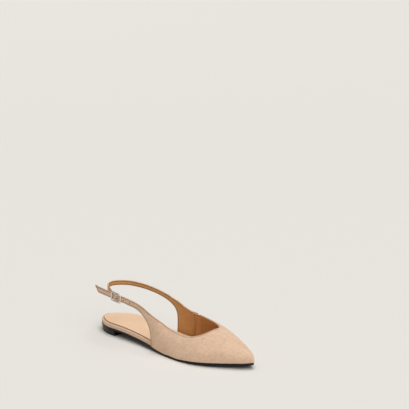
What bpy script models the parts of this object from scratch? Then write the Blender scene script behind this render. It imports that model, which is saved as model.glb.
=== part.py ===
"""A sling back flat with a pointed toe, the right shoe of a pair.

The shoe is drawn along +X from the back of the heel to the tip of the toe, with the outer side
at -Y and the inner side at +Y. The upper and the sole follow one last, worked out from a table
of sections. Lengths are in metres.
"""
import math

import bmesh
import bpy
import numpy as np
from mathutils import Matrix, Vector

# Overall sizes of the last
LENGTH = 0.258
BALL_WIDTH = 0.0764
INSTEP_HEIGHT = 0.064
HEEL_RISE = 0.0077
TOE_SPRING = 0.005
HEEL_ROUND = 0.038
HEEL_CURVE = 1.8
TOE_ROUND = 0.012
NOSE_ROUND = 0.007
SWELL_TOP = 0.625

# Sole unit
OUTSOLE_THICKNESS = 0.0025
OUTSOLE_INSET = 0.0005
OUTSOLE_EDGE = 0.0006
HEEL_LENGTH = 0.0448
HEEL_TAPER = 0.0006
HEEL_EDGE = 0.0006
BOARD_HEIGHT = 0.005
BOARD_FRONT_HEIGHT = 0.0032
BOARD_EDGE = 0.0012
BOARD_STEP_LENGTH = 0.045
BOARD_HEEL_ROUND = 0.0127
SOCK_THICKNESS = 0.001
SOCK_INSET = 0.0022
SOCK_EDGE = 0.0003

# Upper and straps
WALL = 0.0016
LAP_LENGTH = 0.009
LAP_LAYER = 0.0008
LAP_RAISE = 0.0005
STRAP_WIDTH = 0.0086
STRAP_HEIGHT = 0.059
TAIL_SLANT = 0.0075
TAIL_SLANT_LENGTH = 0.012
STRAP_ROOT_LENGTH = 0.02
SLING_WIDTH = 0.0071
SLING_LOOP_WALL = 0.0011
HOLE_RADIUS = 0.0009
HOLE_PITCH = 0.0109
FREE_HOLES = 2
SLOT_LENGTH = 0.0036
SLOT_WIDTH = 0.0022
LOOP_SLOT_LENGTH = 0.0068

# Buckle
BAR_RADIUS = 0.0009
CENTRE_BAR_RADIUS = 0.0008
BUCKLE_PITCH = 0.0175
BUCKLE_SIDE_CLEARANCE = 0.0003
BUCKLE_CORNER = 0.0022
PRONG_RADIUS = 0.0006
PRONG_LIFT_ANGLE = 62
PRONG_RING_GAP_ANGLE = 40
LOOP_CLEARANCE = 0.0002
CENTRE_BAR_STATION = 0.218

# Clear space between pieces that touch
GAP = 0.0003

# The last, a row for each section. station is a share of LENGTH from the heel. lateral and medial
# are half widths at the feather line, ridge_side, lateral_swell and medial_swell are sideways
# shifts, all shares of BALL_WIDTH. rise and spring are shares of HEEL_RISE and TOE_SPRING, ridge
# is a share of INSTEP_HEIGHT, and the two square columns say how boxed each side's section is.
LAST_COLUMNS = ("station", "lateral", "medial", "rise", "spring", "ridge", "ridge_side",
                "lateral_square", "medial_square", "lateral_swell", "medial_swell")
LAST_ROWS = (
    (0.00, 0.347, 0.353, 1.00, 0.00, 1.66, 0.000, 0.60, 0.60, 0.026, 0.058),
    (0.10, 0.348, 0.356, 1.00, 0.00, 1.66, 0.000, 0.60, 0.60, 0.026, 0.058),
    (0.17, 0.351, 0.353, 0.99, 0.00, 1.66, 0.000, 0.60, 0.60, 0.026, 0.058),
    (0.25, 0.361, 0.338, 0.92, 0.00, 1.66, 0.013, 0.62, 0.60, 0.026, 0.058),
    (0.33, 0.385, 0.309, 0.76, 0.00, 1.66, 0.026, 0.68, 0.62, 0.026, 0.058),
    (0.42, 0.427, 0.293, 0.46, 0.00, 1.34, 0.052, 0.80, 0.70, 0.024, 0.052),
    (0.50, 0.475, 0.314, 0.17, 0.00, 1.00, 0.065, 0.98, 0.85, 0.018, 0.034),
    (0.58, 0.518, 0.372, 0.00, 0.00, 0.78, 0.079, 1.15, 1.00, 0.016, 0.021),
    (0.66, 0.539, 0.440, 0.00, 0.00, 0.70, 0.085, 1.25, 1.05, 0.016, 0.016),
    (0.73, 0.524, 0.461, 0.00, 0.18, 0.64, 0.076, 1.20, 1.02, 0.016, 0.016),
    (0.80, 0.455, 0.408, 0.00, 0.38, 0.565, 0.055, 1.10, 1.00, 0.016, 0.016),
    (0.87, 0.335, 0.306, 0.00, 0.58, 0.465, 0.037, 1.00, 0.95, 0.016, 0.016),
    (0.93, 0.212, 0.199, 0.00, 0.77, 0.369, 0.021, 0.92, 0.90, 0.013, 0.013),
    (0.97, 0.135, 0.131, 0.00, 0.90, 0.302, 0.008, 0.90, 0.90, 0.006, 0.006),
    (1.00, 0.073, 0.073, 0.00, 1.00, 0.250, 0.000, 0.90, 0.90, 0.000, 0.000),
)

# The edge of the opening on each side: station as above, and how far up the section it runs,
# from 0 at the feather line to 1 on the ridge.
TOPLINE_COLUMNS = ("station", "lateral", "medial")
TOPLINE_ROWS = (
    (0.368, 0.262, 0.232),
    (0.407, 0.304, 0.277),
    (0.446, 0.345, 0.345),
    (0.484, 0.398, 0.430),
    (0.523, 0.440, 0.530),
    (0.562, 0.462, 0.640),
    (0.601, 0.470, 0.740),
    (0.640, 0.474, 0.800),
    (0.678, 0.494, 0.835),
    (0.717, 0.550, 0.865),
    (0.744, 0.640, 0.905),
    (0.763, 0.790, 0.955),
    (0.775, 1.000, 1.000),
)

# The back edge of each wing, from the strap's root down to the feather line
WING_BACK_COLUMNS = ("run", "station", "height")
LATERAL_WING_BACK = (
    (0.00, 0.368, 0.201),
    (0.18, 0.399, 0.211),
    (0.36, 0.427, 0.208),
    (0.54, 0.447, 0.187),
    (0.72, 0.459, 0.140),
    (0.87, 0.466, 0.072),
    (1.00, 0.469, 0.000),
)
MEDIAL_WING_BACK = (
    (0.00, 0.368, 0.175),
    (0.18, 0.390, 0.188),
    (0.36, 0.410, 0.193),
    (0.54, 0.425, 0.181),
    (0.72, 0.434, 0.140),
    (0.87, 0.438, 0.072),
    (1.00, 0.440, 0.000),
)

# Where the grid's main columns stand: station at the feather line, station at the opening
LATERAL_CORNER_TOP = 0.535
MEDIAL_CORNER_TOP = 0.480
SEAM_LINE = (0.535, 0.568)
THROAT_LINE = (0.800, 0.775)

# Middle lines of the straps: station, side as a share of BALL_WIDTH, height of STRAP_HEIGHT.
# The buckle strap runs from its free end to the outer wing, the sling from the inner wing
# round the heel.
STRAP_COLUMNS = ("station", "side", "height")
BUCKLE_STRAP_ROWS = (
    (0.052, -0.347, 1.008),
    (0.085, -0.364, 1.000),
    (0.135, -0.383, 0.986),
    (0.180, -0.394, 0.972),
    (0.218, -0.401, 0.957),
    (0.275, -0.408, 0.938),
    (0.325, -0.412, 0.908),
)
SLING_ROWS = (
    (0.300, 0.350, 0.925),
    (0.229, 0.350, 0.966),
    (0.160, 0.328, 0.990),
    (0.105, 0.268, 1.008),
    (0.068, 0.165, 1.016),
    (0.050, 0.035, 1.020),
    (0.060, -0.090, 1.016),
    (0.092, -0.197, 1.005),
    (0.126, -0.262, 0.992),
)

# The sling's folded end beside the buckle, measured from the centre bar in units of the loop's
# middle radius: along the strap and outwards
FOLD_COLUMNS = ("along", "outwards")
FOLD_OUTER_ROWS = (
    (-9.80, -2.70),
    (-7.40, -1.85),
    (-5.20, -1.35),
    (-3.60, -1.00),
    (-2.40, -0.36),
    (-1.20, 0.60),
)
FOLD_INNER_ROWS = (
    (-1.20, -1.16),
    (-2.40, -1.60),
    (-3.60, -2.08),
    (-5.20, -2.38),
    (-7.40, -2.84),
    (-9.20, -3.42),
)

# Mesh counts
WALL_ROWS = 8
WING_COLUMNS = 7
SIDE_COLUMNS = 11
QUARTER_COLUMNS = 6
LAP_COLUMNS = 3
TOE_COLUMNS = 17
PLATE_STATIONS = 34
TAIL_COLUMNS = 7
WEAVE_COLUMNS = 15
FRONT_COLUMNS = 6
LOOP_COLUMNS = 9
SLING_COLUMNS = 28
RING_STEPS = 16
ROUND_SIDES = 12

LATERAL = -1
MEDIAL = 1

# Colours and surfaces of the finished pieces: base colour, roughness, metallic
FINISHES = {
    "suede": ((0.66, 0.47, 0.33, 1.0), 0.95, 0.0),
    "sock_leather": ((0.80, 0.55, 0.34, 1.0), 0.5, 0.0),
    "black_rubber": ((0.015, 0.013, 0.013, 1.0), 0.4, 0.0),
    "buckle_metal": ((0.75, 0.74, 0.72, 1.0), 0.25, 1.0),
}


def smoothstep(value):
    """Ease a value from 0 to 1, held flat outside that range."""
    value = min(max(value, 0.0), 1.0)
    return value * value * (3.0 - 2.0 * value)


def hermite(knots, values, slopes, at):
    """Read a cubic through knots and values with given slopes."""
    at = min(max(at, knots[0]), knots[-1])
    index = min(max(int(np.searchsorted(knots, at, side="right")) - 1, 0), len(knots) - 2)
    span = knots[index + 1] - knots[index]
    t = (at - knots[index]) / span
    return ((2 * t**3 - 3 * t**2 + 1) * values[index]
            + (t**3 - 2 * t**2 + t) * span * slopes[index]
            + (-2 * t**3 + 3 * t**2) * values[index + 1]
            + (t**3 - t**2) * span * slopes[index + 1])


def even_slopes(knots, values):
    """Slopes that never make the curve overshoot its rows."""
    steps = np.diff(knots)
    rates = np.diff(values) / steps
    slopes = np.zeros(len(values))
    for i in range(1, len(values) - 1):
        if rates[i - 1] * rates[i] > 0:
            before = 2 * steps[i] + steps[i - 1]
            after = steps[i] + 2 * steps[i - 1]
            slopes[i] = (before + after) / (before / rates[i - 1] + after / rates[i])
    slopes[0] = rates[0]
    slopes[-1] = rates[-1]
    return slopes


def table(columns, rows, key):
    """Make a reader for each column of a table, as a function of its key column."""
    data = np.array(rows)
    knots = data[:, columns.index(key)]
    readers = {}
    for number, name in enumerate(columns):
        values = data[:, number]
        slopes = even_slopes(knots, values)
        readers[name] = lambda at, v=values, s=slopes: hermite(knots, v, s, at)
    return readers


class Path:
    """A smooth line through points, read by its run from 0 to 1."""

    def __init__(self, points):
        self.points = np.array(points)
        steps = np.linalg.norm(np.diff(self.points, axis=0), axis=1)
        self.length = float(steps.sum())
        self.knots = np.concatenate([[0.0], np.cumsum(steps)]) / self.length
        self.slopes = np.gradient(self.points, self.knots, axis=0)

    def at(self, run):
        """Give the point at a run."""
        return hermite(self.knots, self.points, self.slopes, run)

    def direction(self, run):
        """Give the unit direction of travel at a run."""
        step = 1e-3
        line = self.at(min(run + step, 1.0)) - self.at(max(run - step, 0.0))
        return line / np.linalg.norm(line)


LAST = table(LAST_COLUMNS, LAST_ROWS, "station")
TOPLINE = table(TOPLINE_COLUMNS, TOPLINE_ROWS, "station")
WING_BACK = {
    LATERAL: table(WING_BACK_COLUMNS, LATERAL_WING_BACK, "run"),
    MEDIAL: table(WING_BACK_COLUMNS, MEDIAL_WING_BACK, "run"),
}
SIDE_NAMES = {LATERAL: "lateral", MEDIAL: "medial"}


def end_share(x):
    """Say how much of the half width is left near the round heel and the toe's tip."""
    heel = min(max(1.0 - x / HEEL_ROUND, 0.0), 1.0)
    toe = min(max(1.0 - (LENGTH - x) / TOE_ROUND, 0.0), 1.0)
    return (1.0 - heel**HEEL_CURVE) ** (1.0 / HEEL_CURVE) * math.sqrt(1.0 - toe * toe)


def half_width(x, side):
    """Give the half width at the feather line."""
    return LAST[SIDE_NAMES[side]](x / LENGTH) * BALL_WIDTH * end_share(x)


def seat(x):
    """Give the height of the feather line, where the upper meets the top of the outsole."""
    station = x / LENGTH
    return OUTSOLE_THICKNESS + HEEL_RISE * LAST["rise"](station) + TOE_SPRING * LAST["spring"](station)


def foot(x):
    """Give the height of the upper's lower edge, just clear of the outsole."""
    return seat(x) + GAP


def last_point(x, height, side, raised=0.0):
    """Give a point of the upper's outer face.

    height runs from 0 at the feather line to 1 on the ridge, and raised moves the point out
    along the face's normal.
    """
    if raised:
        step = 2e-3
        along = (last_point(min(x + step * LENGTH, LENGTH), height, side)
                 - last_point(x - step * LENGTH, height, side))
        up = (last_point(x, min(height + step, 1.0), side)
              - last_point(x, max(height - step, 0.0), side))
        normal = np.cross(along, up) * -side
        return last_point(x, height, side) + normal / np.linalg.norm(normal) * raised
    station = x / LENGTH
    edge = side * half_width(x, side)
    ridge_side = LAST["ridge_side"](station) * BALL_WIDTH * end_share(x)
    nose = min(max(1.0 - (LENGTH - x) / NOSE_ROUND, 0.0), 1.0)
    rise = (LAST["ridge"](station) * INSTEP_HEIGHT - foot(x)) * math.sqrt(1.0 - nose * nose)
    power = LAST[SIDE_NAMES[side] + "_square"](station)
    turn = min(max(height, 0.0), 1.0) * math.pi / 2
    across = max(math.cos(turn), 0.0) ** power
    upwards = max(math.sin(turn), 0.0) ** power
    swell = LAST[SIDE_NAMES[side] + "_swell"](station) * BALL_WIDTH
    swell *= math.sin(math.pi * min(height / SWELL_TOP, 1.0))
    y = ridge_side + (edge - ridge_side) * across + side * swell
    return np.array((x, y, foot(x) + rise * upwards))


def topline_point(station, side):
    """Give station and height of a point on the edge of the opening."""
    return station, TOPLINE[SIDE_NAMES[side]](station)


def grid_column(low, high, side, raised=0.0):
    """Give a column of points between two places on the last, each a station and a height."""
    points = []
    for row in range(WALL_ROWS + 1):
        share = row / WALL_ROWS
        station = low[0] + (high[0] - low[0]) * share
        height = low[1] + (high[1] - low[1]) * share
        points.append(last_point(station * LENGTH, height, side, raised))
    return points


def wing_columns(side):
    """Give the columns of a wing, from the strap's root to its foot on the feather line."""
    back = WING_BACK[side]
    corner_top = LATERAL_CORNER_TOP if side == LATERAL else MEDIAL_CORNER_TOP
    columns = []
    for number in range(WING_COLUMNS):
        run = number / WING_COLUMNS
        low = (back["station"](run), back["height"](run))
        root = TOPLINE_ROWS[0][0]
        columns.append(grid_column(low, topline_point(root + (corner_top - root) * run, side), side))
    return columns


def side_columns(side, start, end, count, raised=0.0, last_one=False):
    """Give columns between two lines, each a station at the feather line and at the opening.

    The columns crowd together towards the throat, where the opening's edge turns across.
    """
    columns = []
    for number in range(count + (1 if last_one else 0)):
        run = number / count
        low = start[0] + (end[0] - start[0]) * run
        high_run = math.sin(run * math.pi / 2) if end == THROAT_LINE else run
        high = start[1] + (end[1] - start[1]) * high_run
        columns.append(grid_column((low, 0.0), topline_point(high, side), side, raised))
    return columns


def toe_columns(side):
    """Give the columns from the throat to the tip of the toe, closer together near the tip."""
    columns = []
    for number in range(TOE_COLUMNS + 1):
        run = math.sin(number / TOE_COLUMNS * math.pi / 2)
        low = THROAT_LINE[0] + (1.0 - THROAT_LINE[0]) * run
        high = THROAT_LINE[1] + (1.0 - THROAT_LINE[1]) * run
        columns.append(grid_column((low, 0.0), (high, 1.0), side))
    return columns


def shifted(line, distance):
    """Move a line across the last by a distance along the shoe."""
    return tuple(station + distance / LENGTH for station in line)


def band_column(middle, outwards, up, width, slant=0.0):
    """Give a strap's column of points, from its lower to its upper edge."""
    along = np.cross(outwards, up)
    points = []
    for row in range(WALL_ROWS + 1):
        share = row / WALL_ROWS - 0.5
        points.append(middle + up * width * share + along * slant * share)
    return points


def strap_points(rows):
    """Turn strap rows of shares into points in metres."""
    sizes = {"station": LENGTH, "side": BALL_WIDTH, "height": STRAP_HEIGHT}
    scale = np.array([sizes[name] for name in STRAP_COLUMNS])
    return [np.array(row) * scale for row in rows]


def fold_points(rows):
    """Turn fold rows into places in metres, along the strap and outwards of the centre bar."""
    along = FOLD_COLUMNS.index("along")
    outwards = FOLD_COLUMNS.index("outwards")
    return [(row[along] * loop_radius(), row[outwards] * loop_radius()) for row in rows]


def root_middle(side):
    """Give the middle of the line where a wing becomes a strap."""
    root = wing_columns(side)[0]
    return (root[0] + root[-1]) / 2


def buckle_strap_path():
    """Give the buckle strap's middle line, from its free end to the wing."""
    points = strap_points(BUCKLE_STRAP_ROWS)
    points.append(root_middle(LATERAL))
    return Path(points)


def run_at(path, x):
    """Find the run at which a path that goes forwards reaches a place along the shoe."""
    low, high = 0.0, 1.0
    for _ in range(40):
        middle = (low + high) / 2
        if path.at(middle)[0] < x:
            low = middle
        else:
            high = middle
    return (low + high) / 2


def buckle_matrix(path):
    """Give the buckle's own axes: X along the strap, Y outwards, Z down across the strap."""
    run = run_at(path, CENTRE_BAR_STATION * LENGTH)
    along = Vector(path.direction(run))
    outwards = along.cross(Vector((0.0, 0.0, 1.0))).normalized()
    across = along.cross(outwards).normalized()
    matrix = Matrix((along, outwards, across)).transposed().to_4x4()
    matrix.translation = Vector(path.at(run)) + outwards * bar_outwards()[1]
    return matrix


def bar_outwards():
    """Give how far outwards of the strap's middle the end bars and the centre bar lie."""
    end_bars = WALL / 2 + GAP + BAR_RADIUS
    return end_bars, 0.0


def loop_radius():
    """Give the radius of the middle line of the sling's loop on the centre bar."""
    return CENTRE_BAR_RADIUS + LOOP_CLEARANCE + SLING_LOOP_WALL / 2


def weave_height():
    """Give how far the buckle strap swings out to pass over the centre bar and the loop."""
    return bar_outwards()[1] + loop_radius() + SLING_LOOP_WALL / 2 + GAP + WALL / 2


def buckle_strap_columns():
    """Give the buckle strap's columns, from its free end to just short of the wing."""
    path = buckle_strap_path()
    centre = path.at(run_at(path, CENTRE_BAR_STATION * LENGTH))[0]
    start = path.at(0.0)[0]
    root = path.at(1.0)[0]
    reach = BUCKLE_PITCH / 2
    tail = np.linspace(start, centre - reach - BAR_RADIUS, TAIL_COLUMNS)
    weave = np.linspace(centre - reach, centre + reach, WEAVE_COLUMNS)
    front = np.linspace(centre + reach + BAR_RADIUS, root, FRONT_COLUMNS + 1)[:-1]
    wing_root = wing_columns(LATERAL)[0]
    columns = []
    for x in np.concatenate([tail, weave, front]):
        run = run_at(path, x)
        along = path.direction(run)
        outwards = np.cross(along, (0.0, 0.0, 1.0))
        outwards /= np.linalg.norm(outwards)
        up = np.cross(along, outwards) * -1
        swing = math.cos(min(abs(x - centre) / (reach - BAR_RADIUS), 1.0) * math.pi / 2) ** 2
        middle = path.at(run) + outwards * (weave_height() * swing + WALL / 2)
        slant = TAIL_SLANT * max(0.0, 1.0 - (x - start) / TAIL_SLANT_LENGTH)
        column = band_column(middle, outwards, up, STRAP_WIDTH, slant)
        share = smoothstep(1.0 - (root - x) / STRAP_ROOT_LENGTH)
        if share > 0.0:
            offset = path.at(run) - path.at(1.0)
            column = [a * (1 - share) + (b + offset) * share for a, b in zip(column, wing_root)]
        columns.append(column)
    return columns


def sling_path():
    """Give the sling's middle line, from the inner wing round the heel, through the buckle's
    centre bar and back along its own inner face."""
    matrix = buckle_matrix(buckle_strap_path())
    radius = loop_radius()
    points = [root_middle(MEDIAL)] + strap_points(SLING_ROWS)
    local = fold_points(FOLD_OUTER_ROWS)
    for number in range(LOOP_COLUMNS):
        turn = math.pi / 2 - math.pi * number / (LOOP_COLUMNS - 1)
        local.append((radius * math.cos(turn), radius * math.sin(turn)))
    local += fold_points(FOLD_INNER_ROWS)
    for along, out in local:
        points.append(np.array(matrix @ Vector((along, out, 0.0))))
    return Path(points), len(SLING_ROWS)


def sling_columns():
    """Give the sling's columns from its folded end to the wing, and each column's wall."""
    path, fold_start = sling_path()
    fold_run = path.knots[fold_start + 1]
    start_run = path.knots[fold_start - 1]
    runs = list(np.linspace(0.0, fold_run, SLING_COLUMNS + 1)[1:]) + list(path.knots[fold_start + 2:])
    wing_root = wing_columns(MEDIAL)[0]
    buckle_up = -np.array(buckle_matrix(buckle_strap_path()).col[2][:3])
    columns = []
    walls = []
    for run in runs:
        along = path.direction(run)
        level = np.array((along[0], along[1], 0.0))
        level /= np.linalg.norm(level)
        outwards = np.cross(level, (0.0, 0.0, 1.0))
        share = smoothstep((run - start_run) / (fold_run - start_run))
        up = np.array((0.0, 0.0, 1.0)) * (1 - share) + buckle_up * share
        up /= np.linalg.norm(up)
        wall = WALL + (SLING_LOOP_WALL - WALL) * share
        column = band_column(path.at(run) + outwards * wall / 2, outwards, up, SLING_WIDTH)
        blend = smoothstep(1.0 - run * path.length / STRAP_ROOT_LENGTH)
        if blend > 0.0:
            offset = path.at(run) - path.at(0.0)
            column = [a * (1 - blend) + (b + offset) * blend for a, b in zip(column, wing_root)]
        columns.append(column)
        walls.append(wall)
    return columns[::-1], walls[::-1]


def new_collection(name):
    """Make a collection in the scene."""
    collection = bpy.data.collections.new(name)
    bpy.context.scene.collection.children.link(collection)
    return collection


def finish_material(name):
    """Make one of the finishes, or give the one already made."""
    material = bpy.data.materials.get(name)
    if material is None:
        colour, roughness, metallic = FINISHES[name]
        material = bpy.data.materials.new(name)
        material.use_nodes = True
        shader = material.node_tree.nodes["Principled BSDF"]
        shader.inputs["Base Color"].default_value = colour
        shader.inputs["Roughness"].default_value = roughness
        shader.inputs["Metallic"].default_value = metallic
        material.diffuse_color = colour
    return material


def add_object(name, mesh, collection, parent, finish=None):
    """Add a mesh to a collection, under a parent, with its finish."""
    piece = bpy.data.objects.new(name, mesh)
    collection.objects.link(piece)
    piece.parent = parent
    if finish:
        mesh.materials.append(finish_material(finish))
    return piece


def mesh_from(bm, name, smooth_angle=40.0):
    """Write a bmesh to a new mesh, smooth but for its sharp edges."""
    mesh = bpy.data.meshes.new(name)
    bm.to_mesh(mesh)
    bm.free()
    mesh.shade_smooth()
    mesh.set_sharp_from_angle(angle=math.radians(smooth_angle))
    return mesh


def plate_mesh(start, end, edge, height, open_front=False):
    """Loft a plate's upper face across the shoe from one end to the other.

    edge gives the plate's side for a place and a side, and height its level.
    """
    bm = bmesh.new()
    rows = []
    for number in range(PLATE_STATIONS + 1):
        share = number / PLATE_STATIONS
        run = 1 - math.cos(share * math.pi / 2) if open_front else (1 - math.cos(share * math.pi)) / 2
        x = start + (end - start) * run
        single = number == 0 or (number == PLATE_STATIONS and not open_front)
        sides = (0,) if single else (LATERAL, MEDIAL)
        rows.append([bm.verts.new((x, side * edge(x, side) if side else 0.0, height(x)))
                     for side in sides])
    for before, after in zip(rows, rows[1:]):
        ring = [before[0], after[0]]
        ring += [v for v in (after[-1], before[-1]) if v not in ring]
        bm.faces.new(ring)
    bmesh.ops.recalc_face_normals(bm, faces=bm.faces)
    if sum(face.normal.z for face in bm.faces) < 0:
        bmesh.ops.reverse_faces(bm, faces=bm.faces)
    return bm


def round_edges(piece, width):
    """Round a piece's sharp edges."""
    bevel = piece.modifiers.new("edge", "BEVEL")
    bevel.width = width
    bevel.segments = 2
    bevel.limit_method = "ANGLE"
    bevel.angle_limit = math.radians(50)


def raise_upper_face(bm, place):
    """Extrude a plate's face and put each new point where place says."""
    raised = bmesh.ops.extrude_face_region(bm, geom=bm.faces[:])
    for vertex in [item for item in raised["geom"] if isinstance(item, bmesh.types.BMVert)]:
        vertex.co = place(vertex.co)
    bmesh.ops.recalc_face_normals(bm, faces=bm.faces)


def inset_edge(inset, start, end):
    """Give an edge function that keeps inside the feather line by a distance all round."""
    def edge(x, side):
        share = (x - start) / (end - start)
        return max(half_width(share * LENGTH, side) - inset, 0.0)
    return edge


def wing_foot(side):
    """Give where the foot of a wing stands along the shoe."""
    rows = LATERAL_WING_BACK if side == LATERAL else MEDIAL_WING_BACK
    return rows[-1][1] * LENGTH


def board_height(x):
    """Give the thickness of the wrapped board, less under the forefoot."""
    share = smoothstep((x - wing_foot(MEDIAL)) / (wing_foot(LATERAL) - wing_foot(MEDIAL) + HEEL_LENGTH))
    return BOARD_HEIGHT + (BOARD_FRONT_HEIGHT - BOARD_HEIGHT) * share


def inner_face(x, side, level):
    """Give how far out the upper's inner face stands at a level above the feather line."""
    best = half_width(x, side) - WALL
    steps = 20
    reach = 0.4
    for step in range(1, steps):
        point = last_point(x, reach * step / steps, side, -WALL)
        if point[2] - foot(x) > level + GAP:
            break
        best = min(best, side * point[1])
    return best - GAP


def board_edge(x, side):
    """Give the side of the wrapped board: flush behind the wings, inside the upper ahead."""
    foot = wing_foot(side)
    share = smoothstep((x - foot + BOARD_STEP_LENGTH) / BOARD_STEP_LENGTH)
    behind = half_width(x, side) - OUTSOLE_INSET
    inside = inner_face(x, side, board_height(x))
    return max(behind + (min(inside, behind) - behind) * share, 0.0)


def sock_edge(x, side):
    """Give the side of the sock, inside the board's edge and the upper's inner face."""
    behind = board_edge(x, side) - SOCK_INSET
    inside = inner_face(x, side, board_height(x) + GAP + SOCK_THICKNESS) - GAP
    share = smoothstep((x - wing_foot(side)) / BOARD_STEP_LENGTH)
    return max(behind + (min(inside, board_edge(x, side)) - behind) * share, 0.0)


def closed_ends(edge, start, end):
    """Close an edge function to a round end at the heel and at the toe."""
    def closed(x, side):
        heel = 1.0 - min(max((x - start) / BOARD_HEEL_ROUND, 0.0), 1.0)
        toe = 1.0 - min(max((end - x) / TOE_ROUND, 0.0), 1.0)
        return edge(x, side) * math.sqrt((1.0 - heel * heel) * (1.0 - toe * toe))
    return closed


def build_outsole(collection, parent):
    """Build the outsole, a thin plate from heel to toe."""
    start = OUTSOLE_INSET
    end = LENGTH - OUTSOLE_INSET
    bm = plate_mesh(start, end, inset_edge(OUTSOLE_INSET, start, end), seat)
    piece = add_object("outsole", mesh_from(bm, "outsole"), collection, parent, "black_rubber")
    solid = piece.modifiers.new("thickness", "SOLIDIFY")
    solid.thickness = OUTSOLE_THICKNESS
    solid.offset = -1
    round_edges(piece, OUTSOLE_EDGE)


def build_heel(collection, parent):
    """Build the low heel block under the outsole, with a straight front face."""
    start = OUTSOLE_INSET + HEEL_EDGE
    outline = inset_edge(OUTSOLE_INSET + HEEL_EDGE / 2, start, LENGTH)
    under = OUTSOLE_THICKNESS + GAP
    middle = (start + HEEL_LENGTH) / 2
    narrowing = 1.0 - 2 * HEEL_TAPER / (HEEL_LENGTH - start)
    bm = plate_mesh(start, HEEL_LENGTH, outline, lambda x: seat(x) - under, open_front=True)
    raise_upper_face(bm, lambda co: Vector((middle + (co.x - middle) * narrowing, co.y * narrowing, 0.0)))
    piece = add_object("heel_block", mesh_from(bm, "heel_block"), collection, parent, "black_rubber")
    round_edges(piece, HEEL_EDGE)


def build_board(collection, parent):
    """Build the wrapped insole board that shows as a band behind the wings."""
    start = 2 * OUTSOLE_INSET
    end = LENGTH - NOSE_ROUND - WALL
    bm = plate_mesh(start, end, closed_ends(board_edge, start, end), lambda x: seat(x) + GAP)
    raise_upper_face(bm, lambda co: co + Vector((0.0, 0.0, board_height(co.x) - GAP)))
    piece = add_object("insole_board", mesh_from(bm, "insole_board"), collection, parent, "suede")
    round_edges(piece, BOARD_EDGE)


def build_sock(collection, parent):
    """Build the sock, the leather that lines the top of the board."""
    start = 2 * OUTSOLE_INSET + SOCK_INSET
    end = LENGTH - TOE_ROUND - NOSE_ROUND
    bm = plate_mesh(start, end, closed_ends(sock_edge, start, end),
                    lambda x: seat(x) + board_height(x) + GAP)
    piece = add_object("sock", mesh_from(bm, "sock"), collection, parent, "sock_leather")
    solid = piece.modifiers.new("thickness", "SOLIDIFY")
    solid.thickness = SOCK_THICKNESS
    solid.offset = 1
    round_edges(piece, SOCK_EDGE)


def thicken(bm, walls):
    """Give an open surface its wall on the inner side, and close it round its edges.

    walls holds each point's wall. The lower edge stays level, so that it sits on the outsole.
    """
    bm.normal_update()
    rim = [edge for edge in bm.edges if edge.is_boundary]
    faces = bm.faces[:]
    outer = bm.verts[:]
    copy = bmesh.ops.duplicate(bm, geom=outer + bm.edges[:] + faces)
    inner_of = copy["vert_map"]
    for vertex in outer:
        normal = vertex.normal.copy()
        if abs(vertex.co.z - foot(vertex.co.x)) < GAP / 10:
            normal.z = 0.0
            normal.normalize()
        inner_of[vertex].co = vertex.co - normal * vertex[walls]
    for face in faces:
        copy["face_map"][face].normal_flip()
    for edge in rim:
        first, second = edge.link_loops[0].vert, edge.link_loops[0].link_loop_next.vert
        bm.faces.new((second, first, inner_of[first], inner_of[second]))


def shell_mesh(name, grids):
    """Join grids of columns into one surface and give it its wall.

    Each grid is its side, its columns and each column's wall.
    """
    bm = bmesh.new()
    wall_layer = bm.verts.layers.float.new("wall")
    for side, columns, walls in grids:
        rows = []
        for column, wall in zip(columns, walls):
            row = []
            for point in column:
                vertex = bm.verts.new(point)
                vertex[wall_layer] = wall
                row.append(vertex)
            rows.append(row)
        for before, after in zip(rows, rows[1:]):
            for low in range(WALL_ROWS):
                ring = [before[low], after[low], after[low + 1], before[low + 1]]
                bm.faces.new(ring if side == LATERAL else ring[::-1])
    bmesh.ops.remove_doubles(bm, verts=bm.verts, dist=1e-5)
    thicken(bm, wall_layer)
    return mesh_from(bm, name, smooth_angle=60.0)


def add_shell(name, grids, collection, parent):
    """Add a walled surface made from grids of columns."""
    return add_object(name, shell_mesh(name, grids), collection, parent, "suede")


def build_vamp(collection, cutters, parent):
    """Build the vamp: toe, outer wing and buckle strap in one wall, with the strap's holes."""
    lateral = buckle_strap_columns() + wing_columns(LATERAL)
    foot_line = (LATERAL_WING_BACK[-1][1], LATERAL_CORNER_TOP)
    lateral += side_columns(LATERAL, foot_line, THROAT_LINE, SIDE_COLUMNS)
    lateral += toe_columns(LATERAL)
    lap_end = shifted(SEAM_LINE, LAP_LENGTH)
    sunk = LAP_LAYER + GAP - LAP_RAISE
    medial = side_columns(MEDIAL, SEAM_LINE, lap_end, LAP_COLUMNS, -sunk, last_one=True)
    medial_walls = [WALL - sunk] * len(medial)
    rest = side_columns(MEDIAL, shifted(lap_end, sunk), THROAT_LINE, SIDE_COLUMNS - LAP_COLUMNS)
    rest += toe_columns(MEDIAL)
    medial += rest
    medial_walls += [WALL] * len(rest)
    grids = [(LATERAL, lateral, [WALL] * len(lateral)), (MEDIAL, medial, medial_walls)]
    piece = add_shell("upper_vamp", grids, collection, parent)
    cut_strap_holes(piece, cutters, parent)


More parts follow.
